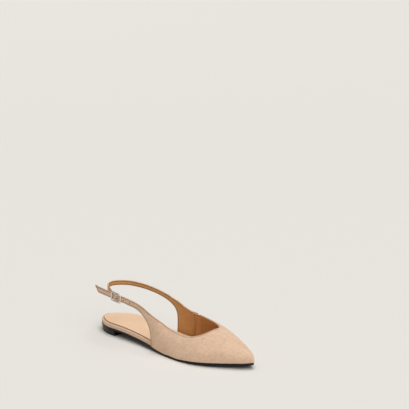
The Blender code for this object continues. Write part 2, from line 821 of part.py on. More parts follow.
def build_quarter(collection, cutters, parent):
    """Build the inner quarter: the inner wing and the sling in one wall, lapped on the vamp."""
    sling, walls = sling_columns()
    wing = wing_columns(MEDIAL)
    foot_line = (MEDIAL_WING_BACK[-1][1], MEDIAL_CORNER_TOP)
    before_lap = shifted(SEAM_LINE, -WALL)
    side = side_columns(MEDIAL, foot_line, before_lap, QUARTER_COLUMNS, last_one=True)
    plain = wing + side
    lap_start = shifted(SEAM_LINE, -2 * GAP)
    lap_end = shifted(SEAM_LINE, LAP_LENGTH - GAP)
    lap = side_columns(MEDIAL, lap_start, lap_end, LAP_COLUMNS, LAP_RAISE, last_one=True)
    columns = sling + plain + lap
    walls = walls + [WALL] * len(plain) + [LAP_LAYER] * len(lap)
    piece = add_shell("upper_quarter_strap", [(MEDIAL, columns, walls)], collection, parent)
    slot = bmesh.new()
    bmesh.ops.create_cube(slot, size=1.0)
    depth = 4 * loop_radius()
    bmesh.ops.scale(slot, vec=(LOOP_SLOT_LENGTH, depth, SLOT_WIDTH), verts=slot.verts)
    cutter = add_object("prong_slot_cutter", mesh_from(slot, "prong_slot_cutter"), cutters, parent)
    cutter.matrix_local = buckle_matrix(buckle_strap_path())
    cut(piece, cutter)


def cut(piece, cutter):
    """Cut a piece with a hidden cutter."""
    cutter.hide_render = True
    cutter.display_type = "WIRE"
    boolean = piece.modifiers.new(cutter.name, "BOOLEAN")
    boolean.operation = "DIFFERENCE"
    boolean.solver = "EXACT"
    boolean.object = cutter


def cut_strap_holes(piece, cutters, parent):
    """Cut the prong's slot and the free holes ahead of the buckle."""
    path = buckle_strap_path()
    matrix = buckle_matrix(path)
    centre_x = matrix.translation.x
    first = SLOT_LENGTH / 2 + BAR_RADIUS
    for number in range(FREE_HOLES + 1):
        bm = bmesh.new()
        depth = 6 * WALL
        bmesh.ops.create_cone(bm, cap_ends=True, segments=ROUND_SIDES, radius1=HOLE_RADIUS,
                              radius2=HOLE_RADIUS, depth=depth)
        if number == 0:
            for vertex in bm.verts:
                stretch = (SLOT_LENGTH - 2 * HOLE_RADIUS) / 2
                vertex.co.x += math.copysign(stretch, vertex.co.x)
        name = f"strap_hole_cutter_{number}"
        cutter = add_object(name, mesh_from(bm, name), cutters, parent)
        distance = first + HOLE_PITCH * number
        run = run_at(path, centre_x + distance)
        along = Vector(path.direction(run))
        outwards = along.cross(Vector((0.0, 0.0, 1.0))).normalized()
        across = outwards.cross(along)
        turn = Matrix((along, across, outwards)).transposed().to_4x4()
        turn.translation = Vector(path.at(run)) + outwards * (WALL if number == 0 else 0.0)
        cutter.matrix_local = turn
        cut(piece, cutter)


def tube_mesh(name, points, radius, closed=False):
    """Sweep a round bar along points with a curve, and give it as a mesh."""
    curve = bpy.data.curves.new(name, "CURVE")
    curve.dimensions = "3D"
    curve.bevel_depth = radius
    curve.bevel_resolution = 2
    curve.use_fill_caps = not closed
    spline = curve.splines.new("POLY")
    spline.points.add(len(points) - 1)
    for slot, point in zip(spline.points, points):
        slot.co = (*point, 1.0)
    spline.use_cyclic_u = closed
    holder = bpy.data.objects.new(name, curve)
    bpy.context.scene.collection.objects.link(holder)
    bpy.context.view_layer.update()
    depsgraph = bpy.context.evaluated_depsgraph_get()
    mesh = bpy.data.meshes.new_from_object(holder.evaluated_get(depsgraph))
    bpy.data.objects.remove(holder)
    bpy.data.curves.remove(curve)
    bm = bmesh.new()
    bm.from_mesh(mesh)
    bmesh.ops.remove_doubles(bm, verts=bm.verts, dist=1e-6)
    bmesh.ops.recalc_face_normals(bm, faces=bm.faces)
    bm.to_mesh(mesh)
    bm.free()
    mesh.shade_smooth()
    mesh.set_sharp_from_angle(angle=math.radians(60))
    return mesh


def rounded_corners(corners, radius, steps=4):
    """Round the corners of a closed outline of right angles in the XZ plane."""
    points = []
    count = len(corners)
    for number, corner in enumerate(corners):
        corner = Vector(corner)
        before = (Vector(corners[number - 1]) - corner).normalized()
        after = (Vector(corners[(number + 1) % count]) - corner).normalized()
        middle = corner + (before + after) * radius
        for step in range(steps + 1):
            turn = step / steps * math.pi / 2
            points.append(middle - after * radius * math.cos(turn) - before * radius * math.sin(turn))
    return points


def build_buckle(collection, cutters, parent):
    """Build the buckle's frame with its centre bar, which dips inwards, and then the prong."""
    seat_axes = bpy.data.objects.new("buckle_axes", None)
    collection.objects.link(seat_axes)
    seat_axes.parent = parent
    seat_axes.matrix_local = buckle_matrix(buckle_strap_path())
    end_out, centre_out = bar_outwards()
    rise = end_out - centre_out
    half_length = BUCKLE_PITCH / 2
    half_height = STRAP_WIDTH / 2 + BUCKLE_SIDE_CLEARANCE + BAR_RADIUS
    corners = [(-half_length, rise, -half_height), (-half_length, rise, half_height),
               (half_length, rise, half_height), (half_length, rise, -half_height)]
    frame = add_object("buckle_frame", tube_mesh("buckle_frame", rounded_corners(corners, BUCKLE_CORNER),
                                                 BAR_RADIUS, closed=True),
                       collection, seat_axes, "buckle_metal")
    dip = BAR_RADIUS
    corner = dip * 0.3
    inner = half_height - (BAR_RADIUS - CENTRE_BAR_RADIUS)
    upper_end = [(0, 0, inner - dip), (0, corner, inner - corner), (0, dip, inner), (0, rise, inner)]
    lower_end = [(x, y, -z) for x, y, z in reversed(upper_end)]
    bar = add_object("centre_bar", tube_mesh("centre_bar", lower_end + upper_end, CENTRE_BAR_RADIUS),
                     cutters, seat_axes)
    bar.hide_render = True
    bar.display_type = "WIRE"
    union = frame.modifiers.new("centre_bar", "BOOLEAN")
    union.operation = "UNION"
    union.solver = "EXACT"
    union.object = bar
    build_prong(collection, seat_axes, rise, half_length)


def build_prong(collection, seat_axes, rise, half_length):
    """Build the prong: a ring round the centre bar and a pin that rests on the front bar."""
    ring = CENTRE_BAR_RADIUS + LOOP_CLEARANCE + PRONG_RADIUS
    tip_out = rise + BAR_RADIUS + GAP + PRONG_RADIUS
    lift = math.radians(PRONG_LIFT_ANGLE)
    sweep = 2 * math.pi - math.radians(PRONG_RING_GAP_ANGLE)
    points = []
    for number in range(RING_STEPS + 1):
        turn = lift + sweep * (1 - number / RING_STEPS)
        points.append(Vector((ring * math.cos(turn), ring * math.sin(turn), 0.0)))
    knee = Vector((half_length - BAR_RADIUS, tip_out, 0.0))
    points.append(points[-1].lerp(knee, 0.5))
    points.append(knee)
    points.append(Vector((half_length + BAR_RADIUS, tip_out, 0.0)))
    mesh = tube_mesh("buckle_prong", points, PRONG_RADIUS)
    add_object("buckle_prong", mesh, collection, seat_axes, "buckle_metal")


def stand_on_centre(collection, origin):
    """Move the shoe so that the middle of its box stands over the origin."""
    bpy.context.view_layer.update()
    depsgraph = bpy.context.evaluated_depsgraph_get()
    lows = []
    highs = []
    for piece in collection.objects:
        if piece.type == "MESH":
            evaluated = piece.evaluated_get(depsgraph)
            mesh = evaluated.to_mesh()
            coords = np.array([evaluated.matrix_world @ v.co for v in mesh.vertices])
            lows.append(coords.min(axis=0))
            highs.append(coords.max(axis=0))
            evaluated.to_mesh_clear()
    low = np.min(lows, axis=0)
    high = np.max(highs, axis=0)
    middle = (low + high) / 2
    origin.location = (-middle[0], -middle[1], 0.0)
    bpy.context.view_layer.update()


def main():
    """Build the whole shoe."""
    for item in list(bpy.data.objects):
        bpy.data.objects.remove(item)
    collection = new_collection("sling_back_flat")
    cutters = new_collection("cutters")
    origin = bpy.data.objects.new("shoe_origin", None)
    collection.objects.link(origin)
    build_outsole(collection, origin)
    build_heel(collection, origin)
    build_board(collection, origin)
    build_sock(collection, origin)
    build_vamp(collection, cutters, origin)
    build_quarter(collection, cutters, origin)
    build_buckle(collection, cutters, origin)
    stand_on_centre(collection, origin)


main()
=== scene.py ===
"""The looks of a sling back flat with a pointed toe, the right shoe of a pair.

The upper, the straps and the sole are worked out from the same last as the solids: from the heel
along +X to the toe, the outer side at -Y and the inner side at +Y. Lengths are in metres.
"""
import logging
import math
from dataclasses import dataclass, field
from enum import Enum
from typing import Callable, Iterable, Sequence

import bmesh
import bpy
import numpy as np
from mathutils import Matrix, Vector
from mathutils.bvhtree import BVHTree
from mathutils.kdtree import KDTree


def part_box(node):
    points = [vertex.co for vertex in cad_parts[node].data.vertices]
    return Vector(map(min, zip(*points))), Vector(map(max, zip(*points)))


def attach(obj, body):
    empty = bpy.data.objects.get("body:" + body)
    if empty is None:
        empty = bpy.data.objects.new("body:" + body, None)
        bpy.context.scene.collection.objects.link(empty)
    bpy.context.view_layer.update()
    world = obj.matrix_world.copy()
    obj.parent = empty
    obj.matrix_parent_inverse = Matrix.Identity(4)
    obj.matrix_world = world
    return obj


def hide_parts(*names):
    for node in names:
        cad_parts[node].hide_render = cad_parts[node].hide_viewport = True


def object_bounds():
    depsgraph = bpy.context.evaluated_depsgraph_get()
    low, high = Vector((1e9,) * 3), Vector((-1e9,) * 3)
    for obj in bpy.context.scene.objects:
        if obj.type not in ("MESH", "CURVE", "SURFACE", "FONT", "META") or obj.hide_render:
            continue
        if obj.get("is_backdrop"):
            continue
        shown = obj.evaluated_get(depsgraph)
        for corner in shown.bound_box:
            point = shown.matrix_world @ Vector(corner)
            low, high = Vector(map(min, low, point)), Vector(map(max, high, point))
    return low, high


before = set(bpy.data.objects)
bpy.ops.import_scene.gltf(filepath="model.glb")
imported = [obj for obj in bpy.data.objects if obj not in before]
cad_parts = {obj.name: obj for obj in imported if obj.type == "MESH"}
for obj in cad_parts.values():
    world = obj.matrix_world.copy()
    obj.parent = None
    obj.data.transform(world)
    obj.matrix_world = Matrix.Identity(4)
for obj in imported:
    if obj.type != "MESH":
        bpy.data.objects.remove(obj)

CAD_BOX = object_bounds()
log = logging.getLogger("sling_back_flat")

# The last: half widths, sideways shifts and swells are shares of the ball width, rise and spring
# of the heel's rise and the toe's spring, ridge of the instep's height.
LAST_COLUMNS = ("station", "lateral", "medial", "rise", "spring", "ridge", "ridge_side",
                "lateral_square", "medial_square", "lateral_swell", "medial_swell")
LAST_ROWS = (
    (0.00, 0.347, 0.353, 1.00, 0.00, 1.66, 0.000, 0.60, 0.60, 0.026, 0.058),
    (0.10, 0.348, 0.356, 1.00, 0.00, 1.66, 0.000, 0.60, 0.60, 0.026, 0.058),
    (0.17, 0.351, 0.353, 0.99, 0.00, 1.66, 0.000, 0.60, 0.60, 0.026, 0.058),
    (0.25, 0.361, 0.338, 0.92, 0.00, 1.66, 0.013, 0.62, 0.60, 0.026, 0.058),
    (0.33, 0.385, 0.309, 0.76, 0.00, 1.66, 0.026, 0.68, 0.62, 0.026, 0.058),
    (0.42, 0.427, 0.293, 0.46, 0.00, 1.34, 0.052, 0.80, 0.70, 0.024, 0.052),
    (0.50, 0.475, 0.314, 0.17, 0.00, 1.00, 0.065, 0.98, 0.85, 0.018, 0.034),
    (0.58, 0.518, 0.372, 0.00, 0.00, 0.78, 0.079, 1.15, 1.00, 0.016, 0.021),
    (0.66, 0.539, 0.440, 0.00, 0.00, 0.70, 0.085, 1.25, 1.05, 0.016, 0.016),
    (0.73, 0.524, 0.461, 0.00, 0.18, 0.64, 0.076, 1.20, 1.02, 0.016, 0.016),
    (0.80, 0.455, 0.408, 0.00, 0.38, 0.565, 0.055, 1.10, 1.00, 0.016, 0.016),
    (0.87, 0.335, 0.306, 0.00, 0.58, 0.465, 0.037, 1.00, 0.95, 0.016, 0.016),
    (0.93, 0.212, 0.199, 0.00, 0.77, 0.369, 0.021, 0.92, 0.90, 0.013, 0.013),
    (0.97, 0.135, 0.131, 0.00, 0.90, 0.302, 0.008, 0.90, 0.90, 0.006, 0.006),
    (1.00, 0.073, 0.073, 0.00, 1.00, 0.250, 0.000, 0.90, 0.90, 0.000, 0.000),
)

# The opening's edge: how far up the section it runs on each side, 0 at the sole and 1 on the ridge
TOPLINE_COLUMNS = ("station", "lateral", "medial")
TOPLINE_ROWS = (
    (0.368, 0.262, 0.232),
    (0.407, 0.304, 0.277),
    (0.446, 0.345, 0.345),
    (0.484, 0.398, 0.430),
    (0.523, 0.440, 0.530),
    (0.562, 0.462, 0.640),
    (0.601, 0.470, 0.740),
    (0.640, 0.474, 0.800),
    (0.678, 0.494, 0.835),
    (0.717, 0.550, 0.865),
    (0.744, 0.640, 0.905),
    (0.763, 0.790, 0.955),
    (0.775, 1.000, 1.000),
)

# The back edge of each wing, from the strap's root down to the sole
WING_BACK_COLUMNS = ("run", "station", "height")
LATERAL_WING_BACK = (
    (0.00, 0.368, 0.201),
    (0.18, 0.399, 0.211),
    (0.36, 0.427, 0.208),
    (0.54, 0.447, 0.187),
    (0.72, 0.459, 0.140),
    (0.87, 0.466, 0.072),
    (1.00, 0.469, 0.000),
)
MEDIAL_WING_BACK = (
    (0.00, 0.368, 0.175),
    (0.18, 0.390, 0.188),
    (0.36, 0.410, 0.193),
    (0.54, 0.425, 0.181),
    (0.72, 0.434, 0.140),
    (0.87, 0.438, 0.072),
    (1.00, 0.440, 0.000),
)

# Middle lines of the straps: station, side as a share of the ball width, height of the strap height
BUCKLE_STRAP_ROWS = (
    (0.052, -0.347, 1.008),
    (0.085, -0.364, 1.000),
    (0.135, -0.383, 0.986),
    (0.180, -0.394, 0.972),
    (0.218, -0.401, 0.957),
    (0.275, -0.408, 0.938),
    (0.325, -0.412, 0.908),
)
SLING_ROWS = (
    (0.300, 0.350, 0.925),
    (0.229, 0.350, 0.966),
    (0.160, 0.328, 0.990),
    (0.105, 0.268, 1.008),
    (0.068, 0.165, 1.016),
    (0.050, 0.035, 1.020),
    (0.060, -0.090, 1.016),
    (0.092, -0.197, 1.005),
    (0.126, -0.262, 0.992),
)

# The sling's folded end, along the strap and outwards of the centre bar, in loop radii
FOLD_OUTER_ROWS = (
    (-9.80, -2.70),
    (-7.40, -1.85),
    (-5.20, -1.35),
    (-3.60, -1.00),
    (-2.40, -0.36),
    (-1.20, 0.60),
)
FOLD_INNER_ROWS = (
    (-1.20, -1.16),
    (-2.40, -1.60),
    (-3.60, -2.08),
    (-5.20, -2.38),
    (-7.40, -2.84),
    (-9.20, -3.42),
)

SEAM_LINE = (0.535, 0.568)
THROAT_LINE = (0.800, 0.775)
MERGE = 1e-5
UP = Vector((0.0, 0.0, 1.0))
MILLIMETRES = 1000.0
LINING_FACES = 1
EDGE_FACES = 2

Edge = tuple[np.ndarray, np.ndarray]
Palette = dict[str, bpy.types.Material]
Rgb = tuple[float, float, float]
Place = tuple[float, float, float]


class Side(Enum):
    """The two sides of the shoe, with the sign of Y there."""

    LATERAL = -1
    MEDIAL = 1

    @property
    def word(self) -> str:
        """The side's name in the tables."""
        return self.name.lower()


class Rim(Enum):
    """The four edges of a panel's grid."""

    TOP = "top"
    BOTTOM = "bottom"
    START = "start"
    END = "end"


def smoothstep(value: np.ndarray | float) -> np.ndarray | float:
    """Ease a value from 0 to 1, held flat outside that range."""
    value = np.clip(value, 0.0, 1.0)
    return value * value * (3.0 - 2.0 * value)


def measured(line: np.ndarray) -> np.ndarray:
    """Give the distance along a line to each of its points."""
    return np.concatenate([[0.0], np.cumsum(np.linalg.norm(np.diff(line, axis=0), axis=1))])


def walked(line: np.ndarray, runs: np.ndarray, at: np.ndarray | float) -> np.ndarray:
    """Read a line, or values along it, at distances from its start."""
    return np.stack([np.interp(at, runs, line[:, i]) for i in range(3)], axis=-1)


def axes(first: Vector, second: Vector, third: Vector, origin: Vector) -> Matrix:
    """Give the place with these axes and this origin."""
    place = Matrix((first, second, third)).transposed().to_4x4()
    place.translation = origin
    return place


def even_slopes(knots: np.ndarray, values: np.ndarray) -> np.ndarray:
    """Give slopes that never make a curve overshoot its rows.

    Args:
        knots: where the rows stand.
        values: the rows' values.

    Returns:
        A slope for each row.
    """
    steps = np.diff(knots)
    rates = np.diff(values) / steps
    slopes = np.zeros(len(values))
    for i in range(1, len(values) - 1):
        if rates[i - 1] * rates[i] > 0:
            before = 2 * steps[i] + steps[i - 1]
            after = steps[i] + 2 * steps[i - 1]
            slopes[i] = (before + after) / (before / rates[i - 1] + after / rates[i])
    slopes[0] = rates[0]
    slopes[-1] = rates[-1]
    return slopes


class Curve:
    """A cubic curve through rows of numbers or points."""

    def __init__(self, knots: np.ndarray, values: np.ndarray, slopes: np.ndarray) -> None:
        """Keep the rows and their slopes."""
        self.knots = np.asarray(knots, float)
        self.values = np.asarray(values, float)
        self.slopes = slopes

    def __call__(self, at: np.ndarray | float) -> np.ndarray:
        """Read the curve at one place or at many."""
        at = np.clip(np.asarray(at, float), self.knots[0], self.knots[-1])
        index = np.clip(np.searchsorted(self.knots, at, side="right") - 1, 0, len(self.knots) - 2)
        span = self.knots[index + 1] - self.knots[index]
        t = (at - self.knots[index]) / span
        if self.values.ndim > 1:
            span = span[..., None]
            t = t[..., None]
        return ((2 * t**3 - 3 * t**2 + 1) * self.values[index]
                + (t**3 - 2 * t**2 + t) * span * self.slopes[index]
                + (-2 * t**3 + 3 * t**2) * self.values[index + 1]
                + (t**3 - t**2) * span * self.slopes[index + 1])


class Path(Curve):
    """A smooth line through points, read by its run from 0 to 1."""

    def __init__(self, points: Sequence[np.ndarray]) -> None:
        """Measure the line through the points."""
        points = np.array(points)
        runs = measured(points)
        self.length = float(runs[-1])
        knots = runs / self.length
        super().__init__(knots, points, np.gradient(points, knots, axis=0))

    def direction(self, run: float) -> np.ndarray:
        """Give the unit direction of travel at a run."""
        step = 1e-3
        line = self(min(run + step, 1.0)) - self(max(run - step, 0.0))
        return line / np.linalg.norm(line)

    def run_at(self, x: float, halvings: int = 40) -> float:
        """Find the run at which a line that goes forwards reaches a place along the shoe."""
        low, high = 0.0, 1.0
        for _ in range(halvings):
            middle = (low + high) / 2
            if self(middle)[0] < x:
                low = middle
            else:
                high = middle
        return (low + high) / 2


def read_table(columns: Sequence[str], rows: Sequence[Sequence[float]]) -> dict[str, Curve]:
    """Make a curve for each column of a table, over its first column."""
    data = np.array(rows)
    knots = data[:, 0]
    return {name: Curve(knots, values, even_slopes(knots, values)) for name, values in zip(columns, data.T)}


@dataclass(frozen=True)
class Last:
    """The form that the upper and the sole follow."""

    length: float = 0.258
    ball_width: float = 0.0764
    instep_height: float = 0.064
    heel_rise: float = 0.0077
    toe_spring: float = 0.005
    heel_round: float = 0.038
    heel_curve: float = 1.8
    toe_round: float = 0.012
    nose_round: float = 0.007
    swell_top: float = 0.625
    swell_fade: float = 0.6
    sole: float = 0.0025
    gap: float = 0.0003
    rows: dict[str, Curve] = field(default_factory=lambda: read_table(LAST_COLUMNS, LAST_ROWS))
    topline: dict[str, Curve] = field(default_factory=lambda: read_table(TOPLINE_COLUMNS, TOPLINE_ROWS))

    def end_share(self, x: np.ndarray | float) -> np.ndarray:
        """Say how much of the half width is left near the round heel and the toe's tip."""
        heel = np.clip(1.0 - x / self.heel_round, 0.0, 1.0)
        toe = np.clip(1.0 - (self.length - x) / self.toe_round, 0.0, 1.0)
        power = self.heel_curve
        return (1.0 - heel**power) ** (1.0 / power) * np.sqrt(1.0 - toe * toe)

    def half_width(self, x: np.ndarray | float, side: Side) -> np.ndarray:
        """Give the half width at the feather line."""
        return self.rows[side.word](x / self.length) * self.ball_width * self.end_share(x)

    def seat(self, x: np.ndarray | float) -> np.ndarray:
        """Give the height of the top of the outsole."""
        station = x / self.length
        return (self.sole + self.heel_rise * self.rows["rise"](station)
                + self.toe_spring * self.rows["spring"](station))

    def foot(self, x: np.ndarray | float) -> np.ndarray:
        """Give the height of the upper's lower edge."""
        return self.seat(x) + self.gap

    def point(self, station: np.ndarray | float, height: np.ndarray | float, side: Side,
              raised: np.ndarray | float = 0.0) -> np.ndarray:
        """Give points of the upper's outer face.

        Args:
            station: shares of the length from the heel.
            height: how far up the section, 0 at the feather line and 1 on the ridge.
            side: the side of the shoe.
            raised: how far the points stand out along the face's normal.

        Returns:
            The points, with X, Y and Z last.
        """
        station, height = np.broadcast_arrays(np.asarray(station, float), np.asarray(height, float))
        if np.any(raised):
            step = 2e-3
            along = (self.point(np.minimum(station + step, 1.0), height, side)
                     - self.point(station - step, height, side))
            up = (self.point(station, np.minimum(height + step, 1.0), side)
                  - self.point(station, np.maximum(height - step, 0.0), side))
            normal = np.cross(along, up) * -side.value
            normal /= np.linalg.norm(normal, axis=-1, keepdims=True)
            return self.point(station, height, side) + normal * np.asarray(raised)
        x = station * self.length
        edge = side.value * self.half_width(x, side)
        ridge_side = self.rows["ridge_side"](station) * self.ball_width * self.end_share(x)
        nose = np.clip(1.0 - (self.length - x) / self.nose_round, 0.0, 1.0)
        ridge = self.rows["ridge"](station) * self.instep_height
        rise = (ridge - self.foot(x)) * np.sqrt(1.0 - nose * nose)
        power = self.rows[side.word + "_square"](station)
        turn = np.clip(height, 0.0, 1.0) * math.pi / 2
        across = np.maximum(np.cos(turn), 0.0) ** power
        upwards = np.maximum(np.sin(turn), 0.0) ** power
        share = np.minimum(height / self.swell_top, 1.0)
        fade = 1.0 - smoothstep((share - self.swell_fade) / (1.0 - self.swell_fade))
        swell = self.rows[side.word + "_swell"](station) * self.ball_width * np.sin(math.pi * share) * fade
        y = ridge_side + (edge - ridge_side) * across + side.value * swell
        return np.stack((x, y, self.foot(x) + rise * upwards), axis=-1)

    def top(self, station: np.ndarray, side: Side) -> np.ndarray:
        """Give station and height of places on the edge of the opening."""
        return np.stack((station, self.topline[side.word](station)), axis=-1)


@dataclass
class Panel:
    """A grid of points on the outer face of the upper, columns along and rows up."""

    side: Side
    points: np.ndarray
    walls: np.ndarray

    @staticmethod
    def joined(parts: Sequence["Panel"]) -> "Panel":
        """Join panels of one side end to end."""
        return Panel(parts[0].side, np.concatenate([part.points for part in parts]),
                     np.concatenate([part.walls for part in parts]))

    def eased(self, at: int, reach: int = 34, passes: int = 120) -> "Panel":
        """Round the corner where two joined panels meet.

        Args:
            at: the column where they meet.
            reach: how many columns to each side are moved.
            passes: how often each is moved halfway between its neighbours.

        Returns:
            The eased panel.
        """
        apart = np.abs(np.arange(len(self.points)) - at)
        weight = 0.5 * smoothstep(1.0 - apart / reach)[:, None, None]
        points = self.points
        for _ in range(passes):
            middle = (np.roll(points, 1, axis=0) + np.roll(points, -1, axis=0)) / 2
            points = points + (middle - points) * weight
        return Panel(self.side, points, self.walls)

    def rim(self, which: Rim, first: int = 0, last: int | None = None) -> tuple[np.ndarray, np.ndarray]:
        """Give a line along one edge and the directions from it into the panel.

        Args:
            which: the edge.
            first: the first point of the edge to use.
            last: the point to stop before.

        Returns:
            The points of the line, and a direction at each.
        """
        step = 3
        grids = {
            Rim.TOP: (self.points[:, -1], self.points[:, -1 - step]),
            Rim.BOTTOM: (self.points[:, 0], self.points[:, step]),
            Rim.START: (self.points[0], self.points[step]),
            Rim.END: (self.points[-1], self.points[-1 - step]),
        }
        line, inside = grids[which]
        return line[first:last], (inside - line)[first:last]


@dataclass(frozen=True)
class Fold:
    """A soft trough, or a ridge where the depth is negative, between two places on the last."""

    side: Side
    start: tuple[float, float]
    end: tuple[float, float]
    width: float
    depth: float

    def drop(self, last: Last, points: np.ndarray) -> np.ndarray:
        """Say how far the fold lowers each point."""
        start = last.point(*self.start, self.side)
        line = last.point(*self.end, self.side) - start
        share = np.clip((points - start) @ line / (line @ line), 0.0, 1.0)
        apart = np.linalg.norm(points - start - share[:, None] * line, axis=1)
        return self.depth * np.exp(-(apart / self.width) ** 2)


def add_grid(bm: bmesh.types.BMesh, points: np.ndarray, flip: bool = False) -> list[bmesh.types.BMVert]:
    """Lay a grid over points, columns first.

    Args:
        bm: the mesh to add to.
        points: the places of the grid's points, by column and row.
        flip: turn the faces round.

    Returns:
        The grid's points, column by column.
    """
    columns, rows = points.shape[:2]
    made = bmesh.ops.create_grid(bm, x_segments=columns - 1, y_segments=rows - 1, size=0.5)["verts"]
    placed = sorted(made, key=lambda v: (round((v.co.x + 0.5) * (columns - 1)), v.co.y))
    for vertex, place in zip(placed, points.reshape(-1, 3)):
        vertex.co = place
    if flip:
        bmesh.ops.reverse_faces(bm, faces=list({face for vertex in placed for face in vertex.link_faces}))
    return placed


def grown(bm: bmesh.types.BMesh, edges: Sequence[bmesh.types.BMEdge],
          ) -> tuple[list[bmesh.types.BMVert], list[bmesh.types.BMEdge]]:
    """Extrude a ring of edges where it stands, and give the new ring's points and edges."""
    made = bmesh.ops.extrude_edge_only(bm, edges=edges)["geom"]
    return ([item for item in made if isinstance(item, bmesh.types.BMVert)],
            [item for item in made if isinstance(item, bmesh.types.BMEdge)])


def sweep(bm: bmesh.types.BMesh, points: Sequence[Vector], radii: Sequence[float], sides: int,
          closed: bool = False) -> None:
    """Carry a round section along a line by extruding it from point to point.

    Args:
        bm: the mesh to add to.
        points: the line.
        radii: the section's radius at each point.
        sides: how many sides the section has.
        closed: join the last section to the first.
    """
    count = len(points)
    normal = None
    places = []
    for i, point in enumerate(points):
        before = points[i - 1] if i or closed else point
        after = points[(i + 1) % count] if i < count - 1 or closed else point
        along = (after - before).normalized()
        normal = normal or along.orthogonal()
        normal = (normal - along * normal.dot(along)).normalized()
        size = Matrix.Diagonal((radii[i], radii[i], 1.0, 1.0))
        places.append(axes(along.cross(normal), normal, along, point) @ size)
    ring = bmesh.ops.create_circle(bm, segments=sides, radius=1.0)["verts"]
    edges = list({edge for vertex in ring for edge in vertex.link_edges})
    first_edges = edges
    bmesh.ops.transform(bm, matrix=places[0], verts=ring)
    for before, after in zip(places, places[1:]):
        ring, edges = grown(bm, edges)
        bmesh.ops.transform(bm, matrix=after @ before.inverted(), verts=ring)
    if closed:
        bmesh.ops.bridge_loops(bm, edges=edges + first_edges)
    else:
        bmesh.ops.holes_fill(bm, edges=edges, sides=0)
        bmesh.ops.holes_fill(bm, edges=first_edges, sides=0)
    bmesh.ops.recalc_face_normals(bm, faces=bm.faces)


def add_object(name: str, bm: bmesh.types.BMesh, materials: Iterable[bpy.types.Material],
               ) -> bpy.types.Object:
    """Make an object of the scene from a mesh, which is used up."""
    mesh = bpy.data.meshes.new(name)
    bm.to_mesh(mesh)
    bm.free()
    for material in materials:
        mesh.materials.append(material)
    made = bpy.data.objects.new(name, mesh)
    bpy.context.scene.collection.objects.link(made)
    return made


class Workshop:
    """Turns finished meshes into pieces of the scene, in the frame's place."""

    sharp_angle = math.radians(40.0)

    def __init__(self, last: Last, sole_inset: float) -> None:
        """Find where the heel's back and the last's middle line lie in the frame."""
        low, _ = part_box("outsole")
        x = np.linspace(0.0, last.length, 400)
        outer = float(last.half_width(x, Side.LATERAL).max()) - sole_inset
        self.origin = Vector((low.x - sole_inset, low.y + outer, 0.0))

    def piece(self, name: str, bm: bmesh.types.BMesh, slot: str, materials: Sequence[bpy.types.Material],
              replaces: str = "") -> bpy.types.Object:
        """Make a piece that rides on the shoe.

        Args:
            name: the piece's name.
            bm: its mesh in the shoe's own place, which is used up.
            slot: the record's material slot; not used.
            materials: its materials, in the order of the faces' numbers.
            replaces: the solid that it stands for, if any.

        Returns:
            The piece.
        """
        bmesh.ops.translate(bm, vec=self.origin, verts=bm.verts)
        piece = add_object(name, bm, materials)
        self.shade(piece)
        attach(piece, "root")
        if replaces:
            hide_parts(replaces)
        log.info("%s: %d faces", name, len(piece.data.polygons))
        return piece

    def shade(self, piece: bpy.types.Object) -> None:
        """Shade a piece smooth but for its sharp edges."""
        piece.data.shade_smooth()
        piece.data.set_sharp_from_angle(angle=self.sharp_angle)

    def settle(self, piece: bpy.types.Object) -> None:
        """Work a piece's modifiers into its mesh."""
        bpy.context.view_layer.update()
        depsgraph = bpy.context.evaluated_depsgraph_get()
        mesh = bpy.data.meshes.new_from_object(piece.evaluated_get(depsgraph))
        piece.modifiers.clear()
        piece.data = mesh
        self.shade(piece)


@dataclass
class Pattern:
    """A part's grids, its sewn edges with the ways into the part, and its lower edges."""

    panels: list[Panel]
    edges: list[Edge]
    feet: list[np.ndarray]


